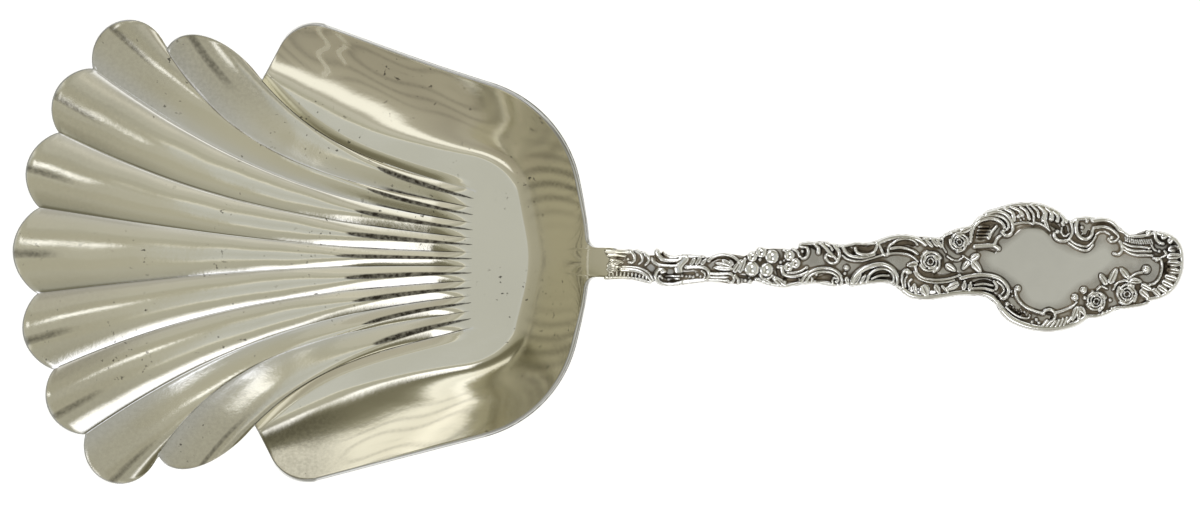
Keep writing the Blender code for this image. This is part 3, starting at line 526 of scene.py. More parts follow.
# Leaves of the handle: where the stalk is, where the point is, and the half width
LEAVES = (
    ((2.7, -0.7), (4.4, 0.45), 0.34), ((2.7, -0.8), (5.2, -0.1), 0.36), ((2.7, -0.9), (5.4, -0.9), 0.36),
    ((2.7, -1.0), (4.9, -1.6), 0.36), ((2.6, -1.1), (3.8, -1.9), 0.34), ((18.0, -0.6), (19.0, 0.9), 0.35),
    ((19.0, -0.5), (20.1, 1.1), 0.40), ((20.0, -0.5), (21.0, 0.7), 0.35),
    ((25.8, -1.2), (22.2, -1.0), 0.42), ((25.6, -0.9), (22.6, -0.1), 0.45),
    ((25.6, -0.7), (23.8, 0.5), 0.42), ((25.8, -0.6), (25.3, 0.5), 0.35), ((26.0, -1.9), (27.5, 0.5), 0.55),
    ((27.0, -2.0), (28.2, 0.9), 0.45), ((33.2, -2.6), (35.1, -4.5), 0.50),
    ((34.2, -3.0), (35.9, -4.5), 0.35), ((36.4, 2.0), (34.9, 2.2), 0.35),
    ((29.8, -3.0), (31.6, -3.7), 0.35), ((31.2, -3.0), (33.0, -4.0), 0.40),
    ((48.3, -3.9), (49.4, -2.2), 0.36), ((49.3, -3.8), (50.3, -2.2), 0.36),
    ((46.6, -2.7), (47.1, -4.2), 0.40), ((59.9, -0.3), (57.8, -0.6), 0.50),
    ((65.0, -0.4), (66.9, -1.7), 0.55), ((59.1, -3.9), (59.6, -6.0), 0.42),
    ((60.7, -4.2), (61.7, -6.3), 0.85), ((63.0, -4.1), (64.0, -5.9), 0.50),
    ((67.5, -3.8), (65.0, -5.1), 0.60), ((64.2, -4.3), (65.6, -5.6), 0.32),
    ((62.7, 2.7), (61.0, 4.5), 0.34), ((63.6, 2.8), (62.2, 4.6), 0.36), ((64.3, 2.6), (63.3, 4.3), 0.34),
    ((67.7, 5.5), (70.0, 6.5), 0.55), ((69.7, 0.4), (71.3, 1.5), 0.60), ((69.3, 0.2), (68.1, -1.4), 0.50),
    ((69.8, 0.2), (71.6, -1.9), 0.65), ((69.4, -5.3), (69.7, -3.5), 0.40),
    ((68.3, -5.2), (68.6, -3.3), 0.42), ((83.4, 7.6), (84.1, 5.9), 0.36),
    ((104.9, 4.5), (106.2, 5.0), 0.50), ((106.2, 3.6), (107.2, 4.3), 0.50),
    ((106.2, 2.3), (108.4, 2.7), 0.55), ((106.0, 1.0), (108.8, 1.2), 0.60),
    ((106.0, -0.2), (108.9, -0.3), 0.60), ((105.9, -1.4), (108.7, -1.8), 0.60),
    ((105.6, -2.5), (108.2, -3.3), 0.58), ((105.1, -3.5), (107.4, -4.6), 0.58),
    ((104.3, -4.3), (106.3, -5.7), 0.55), ((103.4, -4.9), (104.9, -6.3), 0.50),
    ((94.9, -4.2), (93.6, -2.1), 0.52), ((95.4, -4.0), (96.8, -1.1), 0.62),
    ((98.9, -2.9), (97.3, -1.0), 0.52), ((99.1, -3.4), (101.4, -3.6), 0.55),
    ((101.2, -4.1), (103.4, -5.3), 0.52), ((101.0, -5.1), (102.8, -6.7), 0.58),
    ((89.5, -8.1), (88.4, -10.9), 0.50), ((89.8, -8.2), (91.0, -9.8), 0.50),
    ((89.6, -8.3), (89.7, -10.8), 0.42), ((102.2, 5.1), (103.0, 5.8), 0.34),
)

# Balls and lumps: place and radius
BALLS = (
    (6.6, 0.55, 0.34), (12.9, -1.75, 0.50), (16.5, -2.45, 0.35), (17.3, -2.6, 0.26), (17.95, -2.6, 0.32),
    (18.55, -2.75, 0.30), (19.3, -2.3, 0.35), (19.9, -2.6, 0.28), (21.4, 0.3, 0.36), (25.0, -1.3, 0.35),
    (28.1, -3.3, 0.36), (29.0, -3.6, 0.50), (30.3, -3.1, 0.36), (33.5, -3.0, 0.55), (34.4, -3.4, 0.36),
    (35.4, -3.5, 0.40), (34.2, -0.9, 0.46), (34.6, 0.0, 0.36), (39.4, -1.0, 0.36), (38.0, -3.2, 0.34),
    (38.6, 2.0, 0.36), (41.6, 1.7, 0.42), (39.4, -3.2, 0.40), (40.4, -3.1, 0.40), (41.2, -2.3, 0.34),
    (46.7, -1.05, 0.60), (46.4, -2.1, 0.36), (58.0, -1.85, 0.55), (65.3, 5.1, 0.40), (66.2, 5.5, 0.40),
    (66.9, 5.7, 0.36), (70.5, 2.9, 0.46), (74.8, 2.5, 0.50), (75.75, 5.75, 0.45), (78.5, 8.4, 0.45),
    (77.9, 7.8, 0.26), (78.9, 7.75, 0.26), (79.5, 8.0, 0.24), (85.7, 5.6, 0.50), (86.8, 6.9, 0.40),
    (90.25, 6.4, 0.40), (91.2, 7.6, 0.46), (92.2, 7.7, 0.44), (95.8, 4.5, 0.45), (102.7, 2.5, 0.30),
    (104.6, 2.0, 0.36), (104.2, 0.5, 0.50), (102.2, -1.35, 0.85), (90.6, -5.2, 0.75), (89.0, -6.5, 0.75),
    (90.8, -6.6, 0.45), (94.2, -9.3, 0.34), (95.0, -9.0, 0.32), (95.8, -8.5, 0.32), (95.5, -7.0, 0.40),
    (78.4, -4.85, 0.62), (76.4, -7.7, 0.50), (77.5, -8.4, 0.30), (78.1, -8.9, 0.25), (78.6, -9.3, 0.28),
    (79.0, -9.75, 0.22), (79.6, -9.2, 0.28), (78.9, -8.75, 0.20), (81.0, -11.0, 0.36), (81.8, -10.6, 0.40),
    (82.3, -11.2, 0.36), (77.4, -6.2, 0.24), (77.2, -5.4, 0.22),
)

# Blossoms with round petals: centre, then the petals' places and radii
BLOSSOMS = (
    ((30.8, 0.45, 0.40), (29.3, -1.2, 1.30), (32.0, -1.4, 1.20), (33.0, 1.0, 1.20), (31.0, 1.8, 0.95),
     (29.4, 1.0, 0.90)),
    ((35.2, 0.3, 0.26), (36.2, 1.2, 0.95), (36.0, -0.9, 0.85), (37.3, -0.2, 0.90)),
)

# Roses: centre, radius and turn in degrees
ROSES = (
    (62.2, 0.1, 2.25, 20.0), (67.5, 3.7, 2.0, 80.0), (98.6, -5.9, 2.15, 140.0), (92.9, -7.2, 2.05, 200.0),
)

# Rings of a rose's petals: how many, reach and half width by the rose's radius, height and sweep in turns
ROSE_RINGS = ((4, 0.86, 0.15, 0.75, 0.33), (3, 0.56, 0.13, 0.95, 0.42), (2, 0.27, 0.11, 1.0, 0.5))
ROSE_CLOSING = 0.24
ROSE_TAPER = 0.6
ROSE_PETAL_PLACES = 5
ROSE_GROUND_SHARE = 0.96
ROSE_GROUND_HEIGHT = 0.3

# Rows of gadroons: count, half width, length, lean in degrees, and the line their middles stand on
GADROONS = (
    (11, 0.18, 0.7, 0.0, (3.2, -2.35), (6.5, -2.35), (10.0, -3.0)),
    (13, 0.15, 0.75, 25.0, (98.3, 4.3), (100.5, 3.75), (103.2, 3.8)),
    (7, 0.28, 1.25, -40.0, (83.4, -11.25), (85.5, -11.3), (88.0, -10.6)),
)


def blend(first, last, share):
    """The value a share of the way from first to last."""
    return first + (last - first) * share


def ease(low, high, value):
    """0 below low, 1 above high and a smooth step between."""
    share = np.clip((value - low) / (high - low), 0.0, 1.0)
    return share * share * (3.0 - 2.0 * share)


# Bowl

def run(first, last, steps):
    """Points of a straight run, without its first."""
    return [blend(first, last, step / steps) for step in range(1, steps + 1)]


def rounded_path(corners, arc_steps, run_steps):
    """Points along straight runs joined by arcs. Each corner is a point and its radius."""
    points = [np.array(place, float) for place, _ in corners]
    path = [points[0]]
    for index in range(1, len(points) - 1):
        corner = points[index]
        back = (points[index - 1] - corner) / np.linalg.norm(points[index - 1] - corner)
        ahead = (points[index + 1] - corner) / np.linalg.norm(points[index + 1] - corner)
        half_angle = math.acos(float(back @ ahead)) / 2
        radius = corners[index][1]
        middle = (back + ahead) / np.linalg.norm(back + ahead)
        centre = corner + middle * radius / math.sin(half_angle)
        start = corner + back * radius / math.tan(half_angle)
        path += run(path[-1], start, run_steps)
        first = start - centre
        sign = 1.0 if back[0] * ahead[1] - back[1] * ahead[0] < 0 else -1.0
        for step in range(1, arc_steps + 1):
            angle = sign * (math.pi - 2 * half_angle) * step / arc_steps
            cosine, sine = math.cos(angle), math.sin(angle)
            path.append(centre + (first[0] * cosine - first[1] * sine, first[0] * sine + first[1] * cosine))
    path += run(path[-1], points[-1], run_steps)
    return np.array(path)


def mirrored(point):
    """The same place on the other side of the bowl's middle line."""
    return (point[0], -point[1])


def notch(rib):
    """Place of the notch that a rib meets the rim in."""
    return (BOWL_LENGTH - rib[1][0], BOWL_HALF_WIDTH - rib[1][1])


def wing_corner():
    """Place where the wing's front edge and the bowl's side would meet if they were not rounded."""
    return (WING_LENGTH, BOWL_HALF_WIDTH - WING_INSET)


def spread(plan):
    """How far a plan place of the far wing is sprung outwards."""
    forward, side = plan[..., 0], plan[..., 1]
    near_tip = np.exp(-((forward - WING_LENGTH) / FAR_WING_SPRING_LENGTH) ** 2)
    return FAR_WING_SPRING * near_tip * ease(FLAT_HALF_WIDTH, BOWL_HALF_WIDTH, side)


def wall_rim():
    """The rim that the wall climbs to: both sides, run on straight past the wings, and the back."""
    far = tuple(np.add(wing_corner(), np.subtract(wing_corner(), BACK_CORNER)))
    return rounded_path((
        (far, 0.0),
        (BACK_CORNER, BACK_CORNER_RADIUS),
        ((0.0, 0.0), BACK_MIDDLE_RADIUS),
        (mirrored(BACK_CORNER), BACK_CORNER_RADIUS),
        (mirrored(far), 0.0),
    ), RIM_STEPS, RIM_STEPS)


def distance_inside(rim, plan):
    """Distance of each plan point from the rim, positive inside the bowl."""
    first = rim[:-1]
    edge = rim[1:] - first
    offset = plan[..., None, :] - first
    share = np.clip((offset * edge).sum(-1) / (edge * edge).sum(-1), 0.0, 1.0)
    length = np.linalg.norm(offset - share[..., None] * edge, axis=-1)
    nearest = length.argmin(-1)[..., None]
    cross = edge[:, 0] * offset[..., 1] - edge[:, 1] * offset[..., 0]
    sign = np.sign(np.take_along_axis(cross, nearest, -1))
    return (np.take_along_axis(length, nearest, -1) * sign)[..., 0]


def dish_height(plan):
    """Rise of the bowl towards its front lip and its sides."""
    reach = np.hypot(plan[..., 0] - FLOOR_FRONT, plan[..., 1])
    front = np.clip((reach - FLAT_REACH) / (BOWL_LENGTH - FLOOR_FRONT - FLAT_REACH), 0.0, None)
    beside = (np.abs(plan[..., 1]) - FLAT_HALF_WIDTH) / (BOWL_HALF_WIDTH - FLAT_HALF_WIDTH)
    return FRONT_LIP_RISE * front ** 2 + SIDE_RISE * np.clip(beside, 0.0, None) ** 2


def wall_height(plan, rim):
    """Rise of the wall at the back and in the wings, levelling off where the tang leaves it."""
    inside = distance_inside(rim, plan)
    bend = NECK_BEND * np.exp(-(plan[..., 1] / NECK_BEND_HALF_WIDTH) ** 2)
    eased = (inside + np.sqrt(inside ** 2 + bend ** 2)) / 2
    gone = plan[..., 0] / WING_LENGTH
    along_wing = np.clip(plan[..., 0] / notch(RIBS[-1])[0], 0.0, 1.0)
    beside = ease(FLAT_HALF_WIDTH, WING_WIDE_FROM, np.abs(plan[..., 1]))
    width = WALL_WIDTH + WING_WALL_EXTRA_WIDTH * np.sin(math.pi * along_wing) * beside
    climb = np.clip(1.0 - eased / width, 0.0, 1.0)
    foot = blend(BACK_WALL_FOOT, WING_WALL_FOOT, np.clip(gone / WING_FOOT_FULL_AT, 0.0, 1.0))
    share = (np.hypot(climb, foot) - foot) / (np.hypot(1.0, foot) - foot)
    lowered = gone * (1.0 + WING_WALL_SAG * (1.0 - gone))
    return blend(BACK_WALL_HEIGHT, WING_WALL_HEIGHT, lowered) * share


def hammer_marks(plan, depth):
    """Slow unevenness that planishing leaves in the sheet."""
    forward, side = plan[..., 0], plan[..., 1]
    bent = forward / MARK_FORWARD + MARK_BEND * np.sin(side / MARK_BEND_LENGTH)
    broad = np.sin(bent) * np.sin(side / MARK_SIDE + MARK_START)
    slanted = forward / SMALL_MARK_FORWARD - side / SMALL_MARK_SIDE
    small = np.sin(slanted + SMALL_MARK_BEND * np.sin(forward / SMALL_MARK_BEND_LENGTH))
    return depth * (broad + SMALL_MARK_SHARE * small)


def wing_painted_streaks(plan, inside):
    """Painted streaks in long loops on the wings, standing in for reflections."""
    forward = plan[..., 0]
    swirl = WING_STREAK_SWIRL * np.sin(forward / WING_STREAK_SWIRL_LENGTH + WING_STREAK_SWIRL_START)
    ripple = WING_STREAK_RIPPLE * np.sin(forward / WING_STREAK_RIPPLE_LENGTH + inside / WING_STREAK_RIPPLE_SLANT)
    around = np.hypot((forward - WING_STREAK_HEART[0]) / WING_STREAK_STRETCH, inside - WING_STREAK_HEART[1])
    # painted streaks standing in for reflections in the wing's walls
    lines = np.abs(np.sin(math.pi * (around + swirl + ripple) / WING_STREAK_PITCH)) ** WING_STREAK_SHARPNESS
    return WING_STREAK_SHARE * lines * ease(*WING_STREAK_FORWARD, forward) * ease(*WING_STREAK_DOWN, inside)


def corner_lines(plan, inside):
    """Painted dark lines up the back wall beside its corners, standing in for reflections, at full strength.
    """
    side = np.abs(plan[..., 1])
    bowed = side + CORNER_LINES_BOW * (inside - CORNER_LINES_BOW_AT) ** 2
    # painted dark lines standing in for reflections
    lines = np.abs(np.sin(math.pi * bowed / CORNER_LINES_PITCH)) ** CORNER_LINES_SHARPNESS
    beside = np.exp(-((side - CORNER_LINES_SIDE) / CORNER_LINES_SPREAD) ** 2)
    return lines * beside * ease(*CORNER_LINES_FORWARD, plan[..., 0]) * ease(*CORNER_LINES_DOWN, inside)


def squiggles(plan, inside):
    """Wavy matt marks on the far wing near its tip."""
    marks = np.zeros(inside.shape)
    for place, swing, turn, start, reach in SQUIGGLES:
        off = plan[..., 0] - place - swing * np.sin(turn * inside + start)
        line = np.exp(-(off / SQUIGGLE_HALF_WIDTH) ** 2) * ease(reach + SQUIGGLE_FADE, reach, inside)
        marks = np.maximum(marks, line)
    return SQUIGGLE_MATT * marks


def curve(start, end, start_angle, end_angle, shares):
    """A plan curve that leaves start and meets end at the given angles in degrees."""
    pull = RIB_PULL * math.dist(start, end)
    leave, meet = [
        np.array((math.cos(math.radians(angle)), math.sin(math.radians(angle))))
        for angle in (start_angle, end_angle)
    ]
    shares = shares[:, None]
    rest = 1.0 - shares
    pulled = rest * np.add(start, pull * leave) + shares * np.subtract(end, pull * meet)
    return rest ** 3 * np.array(start) + 3 * rest * shares * pulled + shares ** 3 * np.array(end)


def ray_shares(crowding):
    """Places of the points along a ray, crowded towards its start."""
    return (np.arange(RAY_STEPS + 1) / RAY_STEPS) ** crowding


def rib_height(travel, length, sizes):
    """Height of a rib's crest a distance from its root: a rounded end, a dip and a rise to the rim."""
    root, tip = sizes.rib_root / MM, sizes.rib_tip / MM
    sunk = RIB_DIP * ease(RIB_DIP_FROM, RIB_DIP_TO, travel)
    rise = (travel / length) ** RIB_RISE_POWER
    return root * (1.0 - sunk) * ease(0.0, RIB_ROOT_LENGTH, travel) + (tip - root * (1.0 - RIB_DIP)) * rise


def rib_share(across, travel):
    """Share of a rib's height at across, 0 in a flute's middle and 1 on a crest."""
    steep = blend(END_PROFILE_POWER, ROOT_PROFILE_POWER, ease(0.0, RIB_ROOT_LENGTH, travel))
    return across ** blend(steep, RIB_PROFILE_POWER, ease(RIB_ROOT_LENGTH, RIB_DIP_TO, travel))


def root_painted_shade(upward, travel, reach):
    """Painted shade at the root of a flute: a dark tapered slit, and a dark line under its near crest, both
    standing in for dark reflections.
    """
    gone = np.clip(travel / reach, 0.0, 1.0)
    taper = np.maximum(gone ** ROOT_SHADE_TAPER[0] * (1.0 - gone) ** ROOT_SHADE_TAPER[1], ROOT_SHADE_LEAST_TAPER)
    # painted shade: the dark slit stands in for a dark reflection at the flute's root
    slit = ease(ROOT_SHADE_HALF_WIDTH, ROOT_SHADE_CORE * ROOT_SHADE_HALF_WIDTH, np.abs(upward - ROOT_SHADE_OFFSET) / taper)
    # painted shade: a dark line under the near crest
    line = ease(CREST_LINE_WIDTH, CREST_LINE_CORE * CREST_LINE_WIDTH, 1.0 + upward)
    line = line * ease(0.0, CREST_LINE_STARTS_BY, gone) * ease(1.0, CREST_LINE_FADES_FROM, gone)
    return np.maximum(slit, line) * (gone < 1.0)


def tip_painted_shade(upward, travel, lobe, side):
    """Painted shade at the tip of a flute: a dark streak standing in for a dark reflection, and a darkening
    that is stronger in the outer lobes.
    """
    rest = travel[-1] - travel
    beside = abs(upward - TIP_STREAK_PLACES[lobe][side])
    length = TIP_STREAK_LENGTH + TIP_STREAK_GROWTH * lobe
    # painted shade: a dark streak standing in for a dark reflection in the lobe's tip
    across = ease(TIP_STREAK_HALF_WIDTH, TIP_STREAK_CORE * TIP_STREAK_HALF_WIDTH, beside)
    streak = across * ease(length, TIP_STREAK_FULL * length, rest)
    # painted shade: a darkening of the lobe's tip, stronger in the outer lobes
    bloom = ease(TIP_DARKENING_LENGTH, TIP_DARKENING_FULL * TIP_DARKENING_LENGTH, rest)
    return np.maximum(TIP_STREAK_SHARE * streak, TIP_DARKENING_SHARE * (lobe + 1) * bloom)


def flute_rays(sizes):
    """Plan, rib relief, nearness to a crest and painted shade on both sides of the rays in one half's
    flutes.
    """
    plans, reliefs, crests, painted_shades = [], [], [], []
    half = [(rib[0], notch(rib), rib[2], rib[3]) for rib in RIBS]
    root, place, leave, meet = half[0]
    ribs = [(-root, mirrored(place), -leave, -meet)] + half
    for index, (reach, fullness, lean) in enumerate(LOBES):
        inner, outer = ribs[index:index + 2]
        chord = np.subtract(outer[1], inner[1])
        outward = np.array((chord[1], -chord[0])) / np.linalg.norm(chord)
        for step in range(1 if index else FLUTE_STEPS // 2, FLUTE_STEPS + 1):
            share = (1 - math.cos(math.pi * step / FLUTE_STEPS)) / 2
            leaning = share ** lean
            bulge = reach * max(4 * leaning * (1 - leaning), 0.0) ** fullness
            start = (FLOOR_FRONT, blend(inner[0], outer[0], share))
            end = np.add(inner[1], chord * share) + outward * bulge
            angles = [blend(inner[which], outer[which], share) for which in (2, 3)]
            plan = curve(start, end, *angles, ray_shares(RAY_CROWDING))
            travel = np.linalg.norm(plan - plan[0], axis=1)
            across = abs(2 * share - 1)
            plans.append(plan)
            bead = CREST_BEAD * across ** CREST_BEAD_POWER * ease(RIB_DIP_FROM, RIB_DIP_TO, travel)
            reliefs.append(rib_height(travel, travel[-1], sizes) * rib_share(across, travel) + bead)
            crests.append(across ** CREST_WEAR_POWER * np.clip(travel / RIB_ROOT_LENGTH, 0.0, 1.0))
            # reach of the painted dark slits and crest lines, shorter in the outer flutes
            painted = ROOT_SHADE_REACH - ROOT_SHADE_REACH_FALL * index
            painted_shades.append([
                np.maximum(root_painted_shade(upward, travel, painted), tip_painted_shade(upward, travel, index, side))
                for side, upward in enumerate((2 * share - 1, 1 - 2 * share))
            ])
    return plans, reliefs, crests, painted_shades


def wing_rim():
    """Rim of one half from the notch beside the wing, round the wing and the back, to the tang's end."""
    path = rounded_path((
        (notch(RIBS[-1]), 0.0),
        (wing_corner(), WING_CORNER_RADIUS),
        (BACK_CORNER, BACK_CORNER_RADIUS),
        ((0.0, 0.0), BACK_MIDDLE_RADIUS),
        (mirrored(BACK_CORNER), 0.0),
    ), ARC_STEPS, RUN_STEPS)
    fillet_start = TANG_HALF_WIDTH + TANG_FILLET
    kept = path[1:][path[1:, 1] > fillet_start + FILLET_ROOM]
    back = float(np.interp(fillet_start, path[::-1, 1], path[::-1, 0]))
    fillet = []
    for step in range(FILLET_STEPS + 1):
        angle = math.pi / 2 * step / FILLET_STEPS
        drop = TANG_FILLET * (1 - math.sin(angle))
        fillet.append((back - TANG_FILLET * (1 - math.cos(angle)), TANG_HALF_WIDTH + drop))
    end = [(-TANG_LENGTH, TANG_HALF_WIDTH * ray / TANG_RAYS) for ray in range(TANG_RAYS, -1, -1)]
    return np.array([*map(tuple, kept), *fillet, *end])


def wing_rays(sizes):
    """Plan, rib relief and nearness to a crest of the rays from the outermost rib to the back's middle."""
    ends = wing_rim()
    foot = rounded_path((
        ((FLOOR_FRONT, RIBS[-1][0]), 0.0),
        ((FLOOR_BACK, RIBS[-1][0]), FLOOR_BACK_RADIUS),
        ((FLOOR_BACK, 0.0), 0.0),
    ), RIM_STEPS, RIM_STEPS)
    walked = np.concatenate(([0.0], np.cumsum(np.linalg.norm(np.diff(foot, axis=0), axis=1))))
    leave, meet = RIBS[-1][2:]
    crest = curve(foot[0], notch(RIBS[-1]), leave, meet, np.linspace(0.0, 1.0, CREST_STEPS))
    crest_travel = np.linalg.norm(crest - crest[0], axis=1)
    crest_height = rib_height(crest_travel, crest_travel[-1], sizes)
    plans, reliefs, crests = [], [], []
    for index, end in enumerate(ends):
        share = (index + 1) / len(ends)
        gone = walked[-1] * share ** FOOT_CROWDING
        start = np.array((np.interp(gone, walked, foot[:, 0]), np.interp(gone, walked, foot[:, 1])))
        chord = np.subtract(end, start)
        straight = math.degrees(math.atan2(chord[1], chord[0]))
        turned = min(1.0, share / WING_TURN_SHARE)
        angles = (blend(leave, straight, turned), blend(meet, straight, turned))
        plan = curve(start, end, *angles, ray_shares(blend(RAY_CROWDING, 1.0, turned)))
        gaps = np.linalg.norm(plan[:, None] - crest, axis=2)
        nearness = np.clip(1.0 - gaps.min(1) / OUTER_RIB_FOOT, 0.0, 1.0)
        plans.append(plan)
        reliefs.append(crest_height[gaps.argmin(1)] * nearness ** OUTER_RIB_POWER)
        crests.append(nearness ** CREST_WEAR_POWER)
    return plans, reliefs, crests


def half_up(plan, flutes, rim):
    """Directions square to the dish and the wall, ribs left out, of the rays of one half."""
    slopes = []
    for nudge in ((SLOPE_STEP, 0.0), (0.0, SLOPE_STEP)):
        rise = dish_height(plan + nudge) - dish_height(plan - nudge)
        rise[flutes:] += wall_height(plan[flutes:] + nudge, rim) - wall_height(plan[flutes:] - nudge, rim)
        slopes.append(rise / (2 * SLOPE_STEP))
    up = np.dstack((slopes[0], -slopes[1], np.ones(plan.shape[:2])))
    return up / np.linalg.norm(up, axis=2, keepdims=True)


def both_halves(half, near=None):
    """A ring of rays from those of the far half and the near half, which is the same one if not given."""
    return np.concatenate((half, (half if near is None else near)[-2:0:-1]))


def wall_shade_and_matt(walls, rim):
    """Marks of the far and the near half's walls: above 0 painted dark streaks and lines and a darkening at
    the near wing's tip, below 0 matt marks.
    """
    inside = distance_inside(rim, walls)
    painted_streaks = wing_painted_streaks(walls, inside)
    lines = corner_lines(walls, inside)
    marks = squiggles(walls, inside)
    far = np.maximum(painted_streaks, CORNER_LINES_SHARE * lines) * (marks < SQUIGGLE_CLEARS_FROM) - marks
    # darkening towards the near wing's tip
    tip = ease(*NEAR_WING_DARKENING_FORWARD, walls[..., 0]) * ease(*NEAR_WING_DARKENING_DOWN, inside)
    near = np.maximum(np.maximum(painted_streaks, NEAR_CORNER_LINES_SHARE * lines), NEAR_WING_DARKENING * tip)
    return far, near


def bowl_grid(sizes):
    """Top of the bowl as a ring of rays: points, sheet directions, crests, back ray's number and painted
    shade and matt marks.
    """
    rim = wall_rim()
    flutes = flute_rays(sizes)
    wings = wing_rays(sizes)
    fluted = len(flutes[0])
    plan, relief, crest = [np.array(flute + wing) for flute, wing in zip(flutes, wings)]
    walls = plan[fluted:]
    base = dish_height(plan)
    base[fluted:] += wall_height(walls, rim)
    half = np.dstack((-plan[..., 0], plan[..., 1], sizes.sheet / MM + base))
    ring = both_halves(half, half * MIRROR)
    painted_shades = [
        np.concatenate((np.array(flutes[3])[:, side], painted))
        for side, painted in enumerate(wall_shade_and_matt(walls, rim))
    ]
    up = half_up(plan, fluted, rim)
    up = both_halves(up, up * MIRROR)
    tang = len(half) - TANG_RAYS - FILLET_STEPS - 2
    up[tang:len(ring) - tang + 1, :, 1] = 0.0
    up /= np.linalg.norm(up, axis=2, keepdims=True)
    ring[:len(half), :, 1] += spread(plan)
    marks = hammer_marks(ring[..., :2], sizes.unevenness / MM)
    full = np.clip(np.arange(RAY_STEPS + 1) / MARKS_FULL_FROM_STEP, 0.0, 1.0)
    ring[..., 2] += both_halves(relief) + marks * full
    return ring, up, both_halves(crest), len(half) - 1, both_halves(*painted_shades)


def bowl_profile(grid, sizes):
    """Points of each ray's section, out along the top and back below, with their wear and their painted
    shade and matt marks.
    """
    top, up, crest, _, painted_shades = grid
    sheet, rounding = sizes.sheet / MM, sizes.rim_round / MM
    outward = top[:, -1] - top[:, -2]
    outward -= up[:, -1] * (outward * up[:, -1]).sum(1, keepdims=True)
    outward /= np.linalg.norm(outward, axis=1, keepdims=True)
    pulled = top.copy()
    spans = np.linalg.norm(top[:, -1] - top[:, -2], axis=1, keepdims=True)
    pulled[:, -1] -= outward * np.minimum(rounding, MOST_ROUNDING_SHARE * spans)
    under = pulled - sheet * up
    under[..., 2] = np.maximum(under[..., 2], 0.0)
    rim = []
    for side, edge in ((1.0, pulled[:, -1]), (-1.0, under[:, -1])):
        for step in range(1, ROUND_STEPS):
            angle = math.pi / 2 * (step if side > 0 else ROUND_STEPS - step) / ROUND_STEPS
            rise = side * (rounding * math.cos(angle) - rounding)
            rim.append(edge + up[:, -1] * rise + outward * rounding * math.sin(angle))
    section = np.concatenate((pulled, np.array(rim).transpose(1, 0, 2), under[:, ::-1]), axis=1)
    wear = np.zeros(section.shape[:2])
    columns = top.shape[1]
    wear[:, :columns] = crest
    wear[:, columns:columns + len(rim)] = 1.0
    # painted shade above 0 and matt marks below 0, on the top only
    painted_shade_and_matt = np.zeros(section.shape[:2])
    painted_shade_and_matt[:, :columns] = painted_shades
    return section, wear, painted_shade_and_matt


def turning(angle):
    """Matrix that turns points, kept as rows, about the upright."""
    cosine, sine = math.cos(angle), math.sin(angle)
    return np.array(((cosine, sine, 0.0), (-sine, cosine, 0.0), (0.0, 0.0, 1.0)))


def place_piece(item, turned):
    """Set a piece measured from the neck in its place, and let it ride on the spoon."""
    mesh = item.data
    points = np.empty(len(mesh.vertices) * 3)
    mesh.vertices.foreach_get("co", points)
    points = points.reshape(-1, 3) @ turning(turned) + NECK
    mesh.vertices.foreach_set("co", (points * MM).ravel())
    mesh.update()
    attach(item, "root")


def mesh_piece(name, points, faces, materials, picks=None, attributes=None):
    """A smooth mesh object from points in millimetres."""
    mesh = bpy.data.meshes.new(name)
    mesh.from_pydata(np.asarray(points).tolist(), [], faces)
    mesh.polygons.foreach_set("use_smooth", [True] * len(mesh.polygons))
    for material in materials:
        mesh.materials.append(material)
    if picks is not None:
        mesh.polygons.foreach_set("material_index", picks)
    for label, values in (attributes or {}).items():
        layer = mesh.attributes.new(label, "FLOAT", "POINT")
        layer.data.foreach_set("value", np.asarray(values, np.float32))
    item = bpy.data.objects.new(name, mesh)
    bpy.context.scene.collection.objects.link(item)
    return item


def ring_quads(rays, columns, closed):
    """Quads between neighbouring sections of equal length, the last joined to the first if closed."""
    ray = np.arange(rays if closed else rays - 1)[:, None]
    step = np.arange(columns - 1)[None, :]
    near = ray * columns + step
    far = (ray + 1) % rays * columns + step
    return np.stack((near, far, far + 1, near + 1), axis=-1).reshape(-1, 4).tolist()


def make_bowl(sizes, finish):
    """The struck bowl, gilt inside and silver at the rim and below."""
    grid = bowl_grid(sizes)
    section, wear, painted_shade_and_matt = bowl_profile(grid, sizes)
    rays, columns = section.shape[:2]
    faces = ring_quads(rays, columns, True)
    inside = grid[0].shape[1] - 1
    picks = np.tile((np.arange(columns - 1) >= inside).astype(np.int32), rays).tolist()
    points = [section.reshape(-1, 3)]
    count = rays * columns
    middle = np.array((-(FLOOR_BACK + FLOOR_FRONT) / 2, 0.0))
    for column, side in ((0, 0), (columns - 1, 1)):
        outer = [ray * columns + column for ray in range(rays)]
        for shrink in FLOOR_LOOPS:
            loop = section[:, column].copy()
            loop[:, :2] = middle + (loop[:, :2] - middle) * shrink
            inner = list(range(count, count + rays))
            points.append(loop)
            count += rays
            for ray in range(rays):
                beside = (ray + 1) % rays
                quad = (outer[ray], inner[ray], inner[beside], outer[beside])
                faces.append(quad[::-1] if side else quad)
                picks.append(side)
            outer = inner
        faces.append(tuple(outer if side else outer[::-1]))
        picks.append(side)
    points = np.concatenate(points)
    plain = np.zeros(len(points) - rays * columns)
    # painted shade and matt marks of the lining are kept on the mesh
    marks = {"wear": wear, "painted_shade_and_matt": painted_shade_and_matt}
    attributes = {label: np.concatenate((mark.ravel(), plain)) for label, mark in marks.items()}
    materials = [gilt_lining(finish), bowl_silver(finish)]
    item = mesh_piece("bowl_shell", points, faces, materials, picks, attributes)
    place_piece(item, BOWL_YAW)
    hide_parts("bowl")


# Tongue and solder

